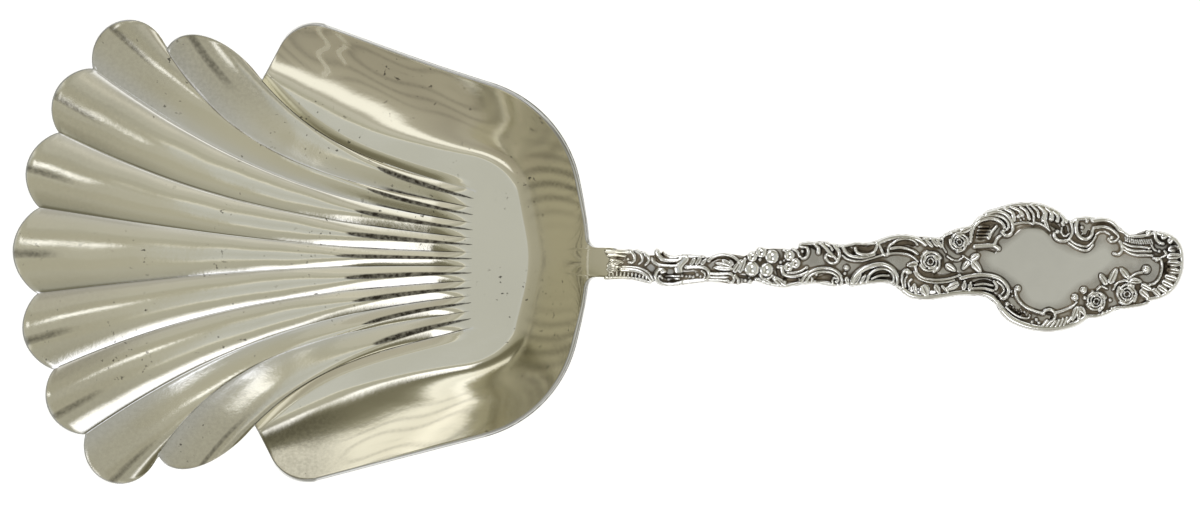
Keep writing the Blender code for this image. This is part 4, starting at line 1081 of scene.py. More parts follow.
def strip_at(grid, step, depth, places):
    """Points a depth under the bowl's top at one step of the tang's rays, at the given side distances."""
    top, up, _, back = grid[:4]
    sheet = top[:, step] - depth * up[:, step]
    reach = top[back - TANG_RAYS, step, 1]
    points = []
    for place in places:
        ray = TANG_RAYS * min(max(place / reach, -1.0), 1.0)
        near = math.floor(ray)
        points.append(blend(sheet[back - near], sheet[back - math.ceil(ray)], ray - near))
    return np.array(points)


def drop_steps(grid):
    """Steps of the back's middle ray from the tongue's tip to the tang's end, with the share gone."""
    height = grid[0][grid[3], :, 2]
    steps = np.flatnonzero(height >= height[-1] - TONGUE_DROP)
    return [(step, index / (len(steps) - 1)) for index, step in enumerate(steps)]


def tongue_half_width(share):
    """Half width of the tongue, from its rounded tip to the neck."""
    return blend(TONGUE_TIP_HALF_WIDTH, TONGUE_HALF_WIDTH, math.sin(math.pi / 2 * share))


def strip_solid(grid, width_at, depth_at, places):
    """Points and faces of a strip under the bowl whose back is crowned and whose edges are thin."""
    sections = []
    for step, share in drop_steps(grid):
        shallow, deep = depth_at(share)
        face = strip_at(grid, step, shallow, places * width_at(share))
        back = strip_at(grid, step, deep, places[::-1] * width_at(share))
        crown = np.sqrt(1.0 - (CROWN_REACH * places[::-1]) ** 2)[:, None]
        sections.append(np.concatenate((face, blend(face[::-1], back, blend(CROWN_EDGE, 1.0, crown)))))
    size = len(sections[0])
    faces = ring_quads(len(sections), size, False)
    for row in range(len(sections) - 1):
        last = row * size + size - 1
        faces.append((last, last + size, row * size + size, row * size))
    faces.append(tuple(range(size)))
    faces.append(tuple((len(sections) - 1) * size + corner for corner in range(size - 1, -1, -1)))
    return np.concatenate(sections), faces


def make_solder(sizes, finish):
    """The seam of solder that shows round the tongue."""
    grid = bowl_grid(sizes)
    shallow = sizes.sheet / MM + JOINT_GAP

    def width_at(share):
        return min(tongue_half_width(share) + SOLDER_MARGIN, TANG_HALF_WIDTH)

    def depth_at(share):
        return shallow, shallow + SOLDER_THICKNESS

    points, faces = strip_solid(grid, width_at, depth_at, np.linspace(1.0, -1.0, SOLDER_PLACES))
    item = mesh_piece("solder_line", points, faces, [solder_grey(finish)])
    place_piece(item, BOWL_YAW)
    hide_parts("solder_seam")


# Handle

def cusps(start, spans):
    """Cusps of an edge: place along the handle, side and bulge of the arc before."""
    row = [(TANG_LENGTH, start, 0.0)]
    for length, side, bulge in spans:
        row.append((row[-1][0] + length, side, math.copysign(bulge, start)))
    return row


def edge_sides(along, start, spans):
    """Side of an edge at each place along the handle, closed by the round end."""
    row = cusps(start, spans)
    end_x, end_side = row[-1][:2]
    middle = (FAR_EDGE[-1][1] + NEAR_EDGE[-1][1]) / 2
    past = np.clip((along - end_x) / ROUND_END_REACH, 0.0, 1.0)
    sides = middle + (end_side - middle) * np.sqrt(1.0 - past ** 2)
    for (last_x, last_side, _), (cusp_x, cusp_side, bulge) in zip(row, row[1:]):
        share = np.clip((along - last_x) / (cusp_x - last_x), 0.0, 1.0)
        arc = blend(last_side, cusp_side, share) + bulge * (4 * share * (1 - share)) ** SCALLOP_FULLNESS
        sides = np.where((along <= cusp_x) & (along >= last_x), arc, sides)
    return np.where(along < TANG_LENGTH, start, sides)


def tip_place():
    """Place of the handle's tip along it."""
    return cusps(FAR_EDGE_START, FAR_EDGE)[-1][0] + ROUND_END_REACH


def face_height(along, neck_height):
    """Height of the handle's face: a cubic from the neck's height and slope to the tip's."""
    length = tip_place() - TANG_LENGTH
    share = (along - TANG_LENGTH) / length
    rise = share ** 2 * (3 - 2 * share)
    bow = length * share * (1 - share) * (NECK_SLOPE * (1 - share) - TIP_SLOPE * share)
    return blend(neck_height, TIP_THICKNESS + TIP_CLEARANCE, rise) + bow


def smooth_path(places):
    """Points of a smooth line through the given places."""
    points = np.array([places[0], *places, places[-1]], float)
    points[0] = 2 * points[1] - points[2]
    points[-1] = 2 * points[-2] - points[-3]
    path = []
    for before, first, last, after in zip(points, points[1:], points[2:], points[3:]):
        for share in np.arange(LINE_STEPS) / LINE_STEPS:
            square, cube = share ** 2, share ** 3
            path.append(0.5 * (
                2 * first + (last - before) * share
                + (2 * before - 5 * first + 4 * last - after) * square
                + (3 * first - before - 3 * last + after) * cube
            ))
    path.append(points[-2])
    return np.array(path)


class Relief:
    """Heights of the handle's ornament over a fine grid of its plan, built up piece by piece."""

    def __init__(self, cell):
        self.cell = cell
        self.along = np.arange(*RELIEF_ALONG, cell)
        self.side = np.arange(*RELIEF_SIDE, cell)
        far = edge_sides(self.along, FAR_EDGE_START, FAR_EDGE)[:, None]
        near = edge_sides(self.along, NEAR_EDGE_START, NEAR_EDGE)[:, None]
        edges = np.maximum(self.side - far, near - self.side)
        ends = np.maximum(TANG_LENGTH - self.along, self.along - RELIEF_END)[:, None]
        self.outside = np.maximum(edges + OUTLINE_INSET, ends)
        self.height = np.zeros(self.outside.shape)
        self.dark = np.zeros(self.outside.shape)

    def window(self, points, margin):
        """Slices of the grid round some points, and the plan places in them."""
        low = np.min(points, axis=0) - margin
        high = np.max(points, axis=0) + margin
        rows = slice(*np.searchsorted(self.along, (low[0], high[0])))
        columns = slice(*np.searchsorted(self.side, (low[1], high[1])))
        plan = np.stack(np.meshgrid(self.along[rows], self.side[columns], indexing="ij"), axis=-1)
        return (rows, columns), plan

    def line_reach(self, places, margin):
        """Window round a smooth line, distance of its grid places from the line and the share along it."""
        path = smooth_path(places)
        area, plan = self.window(path, margin)
        first, edge = path[:-1], np.diff(path, axis=0)
        offset = plan[..., None, :] - first
        share = np.clip((offset * edge).sum(-1) / np.maximum((edge * edge).sum(-1), TINY), 0.0, 1.0)
        gaps = np.linalg.norm(offset - share[..., None] * edge, axis=-1)
        nearest = gaps.argmin(-1)[..., None]
        gone = (nearest + np.take_along_axis(share, nearest, -1)) / len(edge)
        return area, np.take_along_axis(gaps, nearest, -1)[..., 0], gone[..., 0]

    def raise_to(self, area, height, outside):
        """Stand a form on the ground, and widen the outline where it hangs over."""
        self.height[area] = np.maximum(self.height[area], np.where(outside < 0.0, height, FAR_BELOW))
        self.outside[area] = np.minimum(self.outside[area], outside)

    def scroll(self, start, end, height, *places):
        """A rounded band that tapers along a smooth line."""
        area, gap, gone = self.line_reach(places, max(start, end) * SCROLL_FULLNESS + FORM_MARGIN)
        half = blend(start, end, gone) * SCROLL_FULLNESS
        ratio = np.clip(gap / half, 0.0, 1.0)
        self.raise_to(area, height * (1.0 - ratio ** 2) ** SCROLL_ROUNDNESS, gap - half)

    def hollow(self, half, depth, *places):
        """A sunk channel with an oxidised floor."""
        area, gap, _ = self.line_reach(places, half + FORM_MARGIN)
        sunk = 1.0 - ease(HOLLOW_EDGE[0] * half, HOLLOW_EDGE[1] * half, gap)
        self.height[area] = np.minimum(self.height[area], -depth * sunk)
        self.dark[area] = np.maximum(self.dark[area], sunk)

    def ball(self, along, side, radius, height=None):
        """A round boss."""
        area, plan = self.window(np.array([(along, side)]), radius + FORM_MARGIN)
        gap = np.hypot(plan[..., 0] - along, plan[..., 1] - side)
        dome = np.sqrt(np.clip(1.0 - (gap / radius) ** 2, 0.0, 1.0))
        self.raise_to(area, (height or BALL_LEAST_HEIGHT + BALL_HEIGHT_SHARE * radius) * dome, gap - radius)

    def leaf(self, stalk, point, half):
        """A pointed leaf with a cut midrib and a raised blade on each side."""
        stalk, point = np.array(stalk), np.array(point)
        half = LEAF_FULLNESS * half
        area, plan = self.window(np.array((stalk, point)), half + FORM_MARGIN)
        axis = point - stalk
        length = np.linalg.norm(axis)
        offset = plan - stalk
        gone = (offset @ axis) / length ** 2
        across = (offset[..., 0] * axis[1] - offset[..., 1] * axis[0]) / length
        swell = np.sin(np.pi * np.clip(gone, 0.0, 1.0) ** LEAF_LEAN)
        width = half * np.sqrt(np.clip(swell, 0.0, 1.0)) + LEAF_LEAST_WIDTH
        ratio = np.clip(np.abs(across) / width, 0.0, 1.0)
        midrib = MIDRIB_DEPTH * np.exp(-(across / (MIDRIB_WIDTH * half)) ** 2)
        blade = (1.0 - ratio ** LEAF_ROUNDNESS) * (1.0 - midrib)
        beyond = np.maximum(np.abs(gone - 0.5) - 0.5, 0.0) * length
        height = LEAF_HEIGHT * blend(LEAF_EDGE_SHARE, 1.0, blade)
        self.raise_to(area, height, np.abs(across) - width + beyond * LEAF_POINT_CUT)

    def petal(self, along, side, radius):
        """A cupped round petal with a turned-up edge."""
        radius = PETAL_FULLNESS * radius
        area, plan = self.window(np.array([(along, side)]), radius + FORM_MARGIN)
        gap = np.hypot(plan[..., 0] - along, plan[..., 1] - side) / radius
        cup = 1.0 - PETAL_CUP_DEPTH * np.exp(-(gap / PETAL_CUP_WIDTH) ** 2)
        rounded = np.sqrt(np.clip(1.0 - gap ** PETAL_ROUNDNESS, 0.0, 1.0))
        self.raise_to(area, PETAL_HEIGHT * cup * rounded, (gap - 1.0) * radius)

    def rose(self, along, side, radius, turn):
        """Rings of curled petals that close in on a bud, over a low round ground."""
        self.ball(along, side, ROSE_GROUND_SHARE * radius, ROSE_GROUND_HEIGHT)
        for petals, reach, half, height, sweep in ROSE_RINGS:
            for petal in range(petals):
                places = []
                for share in np.linspace(0.0, 1.0, ROSE_PETAL_PLACES):
                    angle = math.radians(turn) + 2 * math.pi * (petal / petals + sweep * share)
                    out = radius * (reach - ROSE_CLOSING * share * reach)
                    places.append((along + out * math.cos(angle), side + out * math.sin(angle)))
                self.scroll(half * radius, ROSE_TAPER * half * radius, height, *places)

    def gadroons(self, count, half, length, lean, *places):
        """A row of short rounded bars across a line."""
        path = smooth_path(places)
        walked = np.concatenate(([0.0], np.cumsum(np.linalg.norm(np.diff(path, axis=0), axis=1))))
        for gone in np.linspace(0.0, walked[-1], count):
            beyond = gone + GADROON_LOOK_AHEAD
            middle = np.array([np.interp(gone, walked, path[:, axis]) for axis in (0, 1)])
            ahead = np.array([np.interp(beyond, walked, path[:, axis]) for axis in (0, 1)]) - middle
            angle = math.atan2(ahead[1], ahead[0]) + math.pi / 2 + math.radians(lean)
            reach = np.array((math.cos(angle), math.sin(angle))) * length / 2
            self.scroll(half, half, GADROON_HEIGHT, middle - reach, middle + reach)

    def carve(self):
        """Cut the hollows and stand every scroll, leaf, ball, blossom and rose on the ground."""
        for form in HOLLOWS:
            self.hollow(*form)
        for form in SCROLLS:
            self.scroll(*form)
        for form in GADROONS:
            self.gadroons(*form)
        for form in LEAVES:
            self.leaf(*form)
        for form in BALLS:
            self.ball(*form)
        for centre, *petals in BLOSSOMS:
            for form in petals:
                self.petal(*form)
            self.ball(*centre, BLOSSOM_HEART_HEIGHT)
        for form in ROSES:
            self.rose(*form)

    def recess(self):
        """How sunk each place is among its neighbours, from 0 to 1."""
        sunk = HOLLOW_DARKNESS * self.dark
        mean = self.height.copy()
        for turns, low, high, share in RECESS_SCALES:
            for _ in range(turns):
                mean = (np.roll(mean, 1, 0) + 2 * mean + np.roll(mean, -1, 0)) / 4
                mean = (np.roll(mean, 1, 1) + 2 * mean + np.roll(mean, -1, 1)) / 4
            sunk = np.maximum(sunk, share * ease(low, high, mean - self.height))
        return np.clip(sunk, 0.0, 1.0)


def outline_cells(outside):
    """Places in the grid, and faces, of its cells inside the outline, those on it cut along it."""
    inside = outside < 0.0
    number = np.full(outside.shape, -1)
    number[inside] = np.arange(inside.sum())
    places = [np.argwhere(inside).astype(float)]
    full = inside[:-1, :-1] & inside[1:, :-1] & inside[1:, 1:] & inside[:-1, 1:]
    faces = np.stack((
        number[:-1, :-1][full], number[1:, :-1][full], number[1:, 1:][full], number[:-1, 1:][full],
    ), axis=-1).tolist()
    count = int(inside.sum())
    crossings = {}
    added = []
    partly = (inside[:-1, :-1] | inside[1:, :-1] | inside[1:, 1:] | inside[:-1, 1:]) & ~full
    for row, column in np.argwhere(partly):
        corners = ((row, column), (row + 1, column), (row + 1, column + 1), (row, column + 1))
        loop = []
        for first, last in zip(corners, corners[1:] + corners[:1]):
            if inside[first]:
                loop.append(int(number[first]))
            if inside[first] != inside[last]:
                key = (min(first, last), max(first, last))
                if key not in crossings:
                    low, high = outside[key[0]], outside[key[1]]
                    share = min(max(low / (low - high), CUT_SHARES[0]), CUT_SHARES[1])
                    added.append(blend(np.array(key[0], float), np.array(key[1], float), share))
                    crossings[key] = count
                    count += 1
                loop.append(crossings[key])
        faces.append(loop)
    places.append(np.array(added))
    return np.concatenate(places), faces


def border_edges(faces):
    """Edges used by one face only, each as it runs in that face."""
    seen = {}
    for face in faces:
        for first, last in zip(face, face[1:] + face[:1]):
            if (last, first) in seen:
                del seen[(last, first)]
            else:
                seen[(first, last)] = True
    return list(seen)


def grid_value(values, places):
    """Values of a grid at places between its cells."""
    low = np.minimum(np.floor(places).astype(int), np.array(values.shape) - 2)
    share = places - low
    near = blend(values[low[:, 0], low[:, 1]], values[low[:, 0] + 1, low[:, 1]], share[:, 0])
    far = blend(values[low[:, 0], low[:, 1] + 1], values[low[:, 0] + 1, low[:, 1] + 1], share[:, 0])
    return blend(near, far, share[:, 1])


def handle_back(along, depth, neck, thickness):
    """Height of the handle's plain back, rounded towards its edges and closed at the tang's end."""
    share = np.clip((along - TANG_LENGTH) / (tip_place() - TANG_LENGTH), 0.0, 1.0)
    body = blend(thickness, TIP_THICKNESS, share)
    near_edge = np.clip(1.0 - depth / BACK_ROUND_WIDTH, 0.0, 1.0)
    lift = BACK_ROUND_SHARE * body * (1.0 - np.sqrt(1.0 - near_edge ** 2))
    height = face_height(np.maximum(along, TANG_LENGTH), neck) - body + lift
    end = face_height(TANG_LENGTH, neck) + BACK_END_LIFT
    return np.where(along < TANG_LENGTH + BACK_END_LENGTH, end, height)


def handle_top(relief, cells, neck, sizes):
    """Plan and heights of the handle's ornamented top at places of the relief's grid."""
    plan = np.column_stack((
        np.interp(cells[:, 0], np.arange(len(relief.along)), relief.along),
        np.interp(cells[:, 1], np.arange(len(relief.side)), relief.side),
    ))
    along = plan[:, 0]
    depth = np.clip(-grid_value(relief.outside, cells), 0.0, None)
    growth = blend(*RELIEF_SHARES, ease(*RELIEF_GROWS, along))
    height = grid_value(relief.height, cells) * sizes.relief * growth
    sink = sizes.ground_sink / MM * ease(*SINK_FALLS, along)
    fall = sizes.edge_round / MM
    rounded = fall * (1.0 - np.sqrt(1.0 - np.clip(1.0 - depth / fall, 0.0, 1.0) ** 2))
    face = face_height(np.maximum(along, TANG_LENGTH), neck)
    top = face - sink + height - rounded * ease(*ROUNDING_STARTS, along)
    lap = face_height(TANG_LENGTH, neck) + LAP_HEIGHT
    return plan, np.where(along < TANG_LENGTH + LAP_LENGTH, np.maximum(top, lap), top)


def handle_under(relief, plan, edges, step):
    """Plan and depths of the handle's back, its triangles, and numbers in it of the outline's corners."""
    rim = sorted({corner for edge in edges for corner in edge})
    position = {corner: index for index, corner in enumerate(rim)}
    rows, columns = np.nonzero(relief.outside < -BACK_INSET)
    coarse = (rows % step == 0) & (columns % step == 0)
    rows, columns = rows[coarse], columns[coarse]
    places = np.concatenate((plan[rim], np.column_stack((relief.along[rows], relief.side[columns]))))
    depths = np.concatenate((np.zeros(len(rim)), -relief.outside[rows, columns]))
    fixed = [(position[first], position[last]) for first, last in edges]
    filled = delaunay_2d_cdt([Vector(place) for place in places.tolist()], fixed, [], 0, MERGE_WITHIN)
    made, triangles, sources = filled[0], filled[2], filled[3]
    kept = []
    for triangle in triangles:
        middle = sum((made[corner] for corner in triangle), Vector((0.0, 0.0))) / 3
        row = int(round((middle[0] - relief.along[0]) / relief.cell))
        column = int(round((middle[1] - relief.side[0]) / relief.cell))
        if relief.outside[row, column] < BACK_SLACK * relief.cell:
            kept.append([sources[corner][0] for corner in reversed(triangle)])
    return places, depths, kept, position


def make_handle(bowl, sizes, finish):
    """The struck handle: ornament in relief over a plain back, and the tongue under the bowl."""
    grid = bowl_grid(bowl)
    neck = grid[0][grid[3], -1, 2]
    inner = bowl.sheet / MM + 2 * JOINT_GAP + SOLDER_THICKNESS
    relief = Relief(sizes.cell / MM)
    relief.carve()
    cells, faces = outline_cells(relief.outside)
    plan, top = handle_top(relief, cells, neck, sizes)
    edges = border_edges(faces)
    under, depths, triangles, position = handle_under(relief, plan, edges, sizes.back_step)
    back = handle_back(under[:, 0], depths, neck, inner + TONGUE_THICKNESS)
    base = len(plan)
    faces += [[base + corner for corner in triangle] for triangle in triangles]
    faces += [[last, first, base + position[first], base + position[last]] for first, last in edges]
    points = np.concatenate((np.column_stack((plan, top)), np.column_stack((under, back))))

    def depth_at(share):
        return inner, inner + blend(TONGUE_TIP_THICKNESS, TONGUE_THICKNESS, share)

    tongue, strip = strip_solid(grid, tongue_half_width, depth_at, np.linspace(1.0, -1.0, TONGUE_PLACES))
    faces += [[len(points) + corner for corner in face] for face in strip]
    points = np.concatenate((points, tongue @ turning(BOWL_YAW)))
    sunk = np.zeros(len(points))
    sunk[:base] = grid_value(relief.recess(), cells)
    item = mesh_piece("scrolled_handle", points, faces, [handle_silver(finish)], None, {"recess": sunk})
    item.data.set_sharp_from_angle(angle=SHARP_FROM)
    place_piece(item, 0.0)
    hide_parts("handle")


# Finishes

# Places along the spoon between which the bowl's gilding runs out on the handle
GILDING_RUNS_OUT = (0.0225, 0.0255)
# How far the table turns from the eye while its glow dims, and the glow left
TABLE_DIMS_FROM = (0.35, 0.85)
TABLE_GLOW_LOW = 0.1
TABLE_ROUGHNESS = 0.9
# Roughness that matt marks and oxide add, and how sunk a place is where oxide starts and where it is full
MATT_ROUGHNESS = 0.55
OXIDE_ROUGHNESS = 0.3
OXIDE_HOLDS = (0.05, 0.6)
# Mottling: scale and detail of a noise, the part of it that counts, and what that part becomes
GILT_CLOUDS = (55.0, 4.0, 0.3, 0.7, 0.0, 1.0)
GILT_SPOTS = (900.0, 2.0, 0.66, 0.72, 0.0, 0.85)
SPOTTED_PATCHES = (70.0, 2.0, 0.5, 0.62, 0.0, 1.0)
# fine grain that breaks up the bowl's painted shade
PAINTED_SHADE_GRAIN = (1500.0, 3.0, 0.35, 0.65, 0.7, 1.05)
# mottle between the two darkened silvers of the rim: painted shade
RIM_SHADE_MOTTLE = (38.0, 5.0, 0.35, 0.7, 0.0, 0.6)
HANDLE_BLOOM = (90.0, 4.0, 0.4, 0.7, 0.0, 0.4)
OXIDE_GRAIN = (420.0, 4.0, 0.3, 0.6, 0.75, 1.1)
OXIDE_PATCHES = (160.0, 4.0, 0.35, 0.65, 0.0, 1.0)
SOLDER_GLOSS = (300.0, 4.0, 0.3, 0.7, 0.3, 0.5)
# Gloss: scale and detail of a noise, and the least and the most share of the roughness
GLOSS_RANGE = (0.3, 0.7)
GILT_GLOSS = (140.0, 6.0, 0.8, 1.25)
RIM_GLOSS = (220.0, 6.0, 0.8, 1.5)
HANDLE_GLOSS = (260.0, 6.0, 0.8, 1.4)
# Tooth: scale, detail and roughness of a noise, and how strongly it is felt
TOOTH_DEPTH = 0.0002
GILT_TOOTH = (700.0, 5.0, 0.7, 0.06)
RIM_TOOTH = (900.0, 5.0, 0.7, 0.08)
HANDLE_TOOTH = (800.0, 5.0, 0.7, 0.10)
SOLDER_TOOTH = (900.0, 4.0, 0.55, 0.25)
# Scale of the plain noises, and shades of the colours
SOLDER_CLOUDS = 500.0
TABLE_CLOUDS = 6.0
GILT_SHADE = 0.955
# darkened silver of the rim and the underside: painted shade for the rim's dark edge line
RIM_PAINTED_SHADES = (0.72, 0.5)
# darkened gilt where the gilding runs out on the handle: painted shade
HANDLE_GILT_PAINTED_SHADE = 0.75
HANDLE_BLOOM_SHADE = 0.84
SOLDER_SHADES = (0.72, 0.7)
TABLE_SHADE = 0.985


class Nodes:
    """A small helper that adds nodes to a material and joins them."""

    def __init__(self, name, metallic=0.0):
        self.material = bpy.data.materials.new(name)
        self.material.use_nodes = True
        self.tree = self.material.node_tree
        self.shader = self.tree.nodes["Principled BSDF"]
        self.shader.inputs["Metallic"].default_value = metallic

    def add(self, kind, **settings):
        """A node with the given settings; a setting that is a socket's name sets that input."""
        node = self.tree.nodes.new(kind)
        for label, value in settings.items():
            if label in node.inputs:
                node.inputs[label].default_value = value
            else:
                setattr(node, label, value)
        return node

    def join(self, source, target):
        """Join an output to an input."""
        self.tree.links.new(source, target)

    def surface(self, label, source):
        """Join an output to an input of the surface."""
        self.join(source, self.shader.inputs[label])

    def noise(self, scale, detail=4.0, roughness=0.55):
        """A noise over the object's own coordinates."""
        place = self.add("ShaderNodeTexCoord")
        node = self.add("ShaderNodeTexNoise", Scale=scale, Detail=detail, Roughness=roughness)
        self.join(place.outputs["Object"], node.inputs["Vector"])
        return node.outputs["Fac"]

    def ranged(self, value, low, high, first, last):
        """A value moved from one range to another."""
        node = self.add("ShaderNodeMapRange")
        for label, number in (("From Min", low), ("From Max", high), ("To Min", first), ("To Max", last)):
            node.inputs[label].default_value = number
        self.join(value, node.inputs["Value"])
        return node.outputs["Result"]

    def mottling(self, scale, detail, low, high, first, last):
        """A noise of which low to high becomes first to last."""
        return self.ranged(self.noise(scale, detail), low, high, first, last)

    def gloss(self, rough, scale, detail, least, most):
        """A roughness that varies from place to place."""
        return self.mottling(scale, detail, *GLOSS_RANGE, least * rough, most * rough)

    def mixed(self, share, first, last, how="MIX"):
        """A colour between two, each a colour or an output; without a share the last is mixed in whole."""
        node = self.add("ShaderNodeMix", data_type="RGBA", blend_type=how)
        if share is None:
            node.inputs["Factor"].default_value = 1.0
        else:
            self.join(share, node.inputs["Factor"])
        for label, colour in (("A", first), ("B", last)):
            socket = [one for one in node.inputs if one.name == label and one.type == "RGBA"][0]
            if isinstance(colour, bpy.types.NodeSocket):
                self.join(colour, socket)
            else:
                socket.default_value = (*colour, 1.0)
        return [one for one in node.outputs if one.type == "RGBA"][0]

    def maths(self, operation, first, last):
        """Two values, each a number or an output, put together by a math operation."""
        node = self.add("ShaderNodeMath", operation=operation)
        for socket, value in zip(node.inputs, (first, last)):
            if isinstance(value, bpy.types.NodeSocket):
                self.join(value, socket)
            else:
                socket.default_value = value
        return node.outputs[0]

    def tooth(self, scale, detail, roughness, strength):
        """A fine roughening of the surface."""
        node = self.add("ShaderNodeBump", Strength=strength, Distance=TOOTH_DEPTH)
        self.join(self.noise(scale, detail, roughness), node.inputs["Height"])
        self.surface("Normal", node.outputs["Normal"])

    def attribute(self, name):
        """A value kept on the mesh."""
        return self.add("ShaderNodeAttribute", attribute_name=name).outputs["Fac"]


def shade(colour, factor):
    """A colour made lighter or darker."""
    return tuple(channel * factor for channel in colour)


def gilt_lining(finish):
    """Pale gilding, thin on the crests of the ribs, with small tarnish spots, painted shade and matt marks.
    """
    nodes = Nodes("gilt_lining", 1.0)
    gilt = tuple(finish.gilt)
    warm = nodes.mixed(nodes.mottling(*GILT_CLOUDS), gilt, shade(gilt, GILT_SHADE))
    worn = nodes.mixed(nodes.attribute("wear"), warm, tuple(finish.silver))
    spotted = nodes.maths("MULTIPLY", nodes.mottling(*GILT_SPOTS), nodes.mottling(*SPOTTED_PATCHES))
    # painted shade: dark reflections of the lining, broken by a fine grain
    painted_dark = nodes.maths("MULTIPLY", nodes.attribute("painted_shade_and_matt"), nodes.mottling(*PAINTED_SHADE_GRAIN))
    dark = nodes.maths("MAXIMUM", spotted, painted_dark)
    nodes.surface("Base Color", nodes.mixed(dark, worn, tuple(finish.oxide)))
    matt = nodes.ranged(nodes.attribute("painted_shade_and_matt"), -1.0, 0.0, MATT_ROUGHNESS, 0.0)
    nodes.surface("Roughness", nodes.maths("ADD", nodes.gloss(finish.gilt_roughness, *GILT_GLOSS), matt))
    nodes.tooth(*GILT_TOOTH)
    return nodes.material


def bowl_silver(finish):
    """Silver of the rim and the underside, brushed by use, darkened and mottled as painted shade that gives
    the rim a dark edge line.
    """
    nodes = Nodes("bowl_silver", 1.0)
    # painted shade: both silvers are darkened copies, which give the rim a dark edge line
    pale, deep = [shade(tuple(finish.silver), factor) for factor in RIM_PAINTED_SHADES]
    nodes.surface("Base Color", nodes.mixed(nodes.mottling(*RIM_SHADE_MOTTLE), pale, deep))
    nodes.surface("Roughness", nodes.gloss(finish.silver_roughness, *RIM_GLOSS))
    nodes.tooth(*RIM_TOOTH)
    return nodes.material


def handle_silver(finish):
    """Silver polished on the tops of the ornament and left dark in its hollows."""
    nodes = Nodes("handle_silver", 1.0)
    silver = tuple(finish.silver)
    broken = nodes.maths("MULTIPLY", nodes.attribute("recess"), nodes.mottling(*OXIDE_GRAIN))
    held = nodes.ranged(broken, *OXIDE_HOLDS, 0.0, 1.0)
    parts = nodes.add("ShaderNodeSeparateXYZ")
    nodes.join(nodes.add("ShaderNodeTexCoord").outputs["Object"], parts.inputs["Vector"])
    gilding = nodes.ranged(parts.outputs["X"], *GILDING_RUNS_OUT, 1.0, 0.0)
    # painted shade: the neck's gilt is a darkened copy of the bowl's gilt
    plain = nodes.mixed(gilding, silver, shade(tuple(finish.gilt), HANDLE_GILT_PAINTED_SHADE))
    bloom = nodes.mixed(nodes.mottling(*HANDLE_BLOOM), plain, shade(silver, HANDLE_BLOOM_SHADE))
    brown = nodes.mixed(nodes.mottling(*OXIDE_PATCHES), tuple(finish.oxide), tuple(finish.bloom))
    nodes.surface("Base Color", nodes.mixed(held, bloom, brown))
    dull = nodes.ranged(held, 0.0, 1.0, 0.0, OXIDE_ROUGHNESS)
    nodes.surface("Roughness", nodes.maths("ADD", nodes.gloss(finish.silver_roughness, *HANDLE_GLOSS), dull))
    nodes.tooth(*HANDLE_TOOTH)
    return nodes.material


def solder_grey(finish):
    """Dull grey solder."""
    nodes = Nodes("solder_grey", 1.0)
    grey = shade(tuple(finish.silver), SOLDER_SHADES[0])
    nodes.surface("Base Color", nodes.mixed(nodes.noise(SOLDER_CLOUDS), grey, shade(grey, SOLDER_SHADES[1])))
    nodes.surface("Roughness", nodes.mottling(*SOLDER_GLOSS))
    nodes.tooth(*SOLDER_TOOTH)
    return nodes.material


def table_white(stage):
    """Matt white table lit through from below, dimmer where it is seen at a low angle."""
    nodes = Nodes("table_white")
    white = tuple(stage.table)
    colour = nodes.mixed(nodes.noise(TABLE_CLOUDS), white, shade(white, TABLE_SHADE))
    nodes.surface("Base Color", colour)
    nodes.shader.inputs["Roughness"].default_value = TABLE_ROUGHNESS
    nodes.surface("Emission Color", colour)
    turned = nodes.add("ShaderNodeLayerWeight", Blend=0.5).outputs["Facing"]
    lit = nodes.ranged(turned, *TABLE_DIMS_FROM, stage.table_glow, TABLE_GLOW_LOW)
    nodes.surface("Emission Strength", lit)
    return nodes.material


# Stage

# Brightness of the studio for a surface that leans towards the near side (below 0) or the far side
NEAR_FAR_LIGHT = (
    (-1.0, (0.42, 0.40, 0.335)), (-0.90, (0.36, 0.34, 0.285)), (-0.82, (0.43, 0.41, 0.345)),
    (-0.72, (0.37, 0.35, 0.295)), (-0.60, (0.42, 0.40, 0.335)), (-0.47, (0.48, 0.46, 0.40)),
    (-0.20, (0.46, 0.45, 0.39)), (0.0, (0.46, 0.45, 0.39)), (0.18, (0.44, 0.43, 0.36)),
    (0.31, (0.36, 0.352, 0.28)), (0.36, (0.22, 0.21, 0.15)), (0.44, (0.17, 0.16, 0.11)),
    (0.57, (0.20, 0.19, 0.135)), (0.64, (0.30, 0.29, 0.22)), (0.70, (1.05, 1.04, 0.97)),
    (0.78, (0.92, 0.91, 0.84)), (0.83, (1.25, 1.24, 1.19)), (0.88, (0.95, 0.94, 0.88)),
    (0.93, (1.15, 1.14, 1.09)), (1.0, (1.0, 0.99, 0.94)),
)
# and the share of it for one that leans towards the bowl's front (below 0) or the handle
FRONT_HANDLE_SHARE = (
    (-1.0, (0.80, 0.78, 0.71)), (-0.5, (0.85, 0.83, 0.76)), (-0.3, (0.92, 0.90, 0.85)),
    (-0.12, (1.0, 1.0, 1.0)), (0.0, (1.0, 1.0, 1.0)), (0.12, (0.95, 0.94, 0.91)),
    (0.28, (0.82, 0.80, 0.74)), (0.38, (1.7, 1.7, 1.7)), (0.6, (1.7, 1.7, 1.7)), (0.7, (0.90, 0.89, 0.85)),
    (1.0, (0.85, 0.84, 0.80)),
)
# Brightness overhead, for a lean to either side, and where the bands of light take over from it
OVERHEAD_LIGHT = (
    (0.0, (0.505, 0.51, 0.475)), (0.03, (0.54, 0.55, 0.53)), (0.07, (0.57, 0.58, 0.56)),
    (0.082, (0.78, 0.765, 0.70)), (0.092, (0.72, 0.70, 0.60)), (0.108, (0.45, 0.44, 0.37)),
    (0.22, (0.43, 0.42, 0.355)),
)
OVERHEAD_EDGE = (0.28, 0.18)
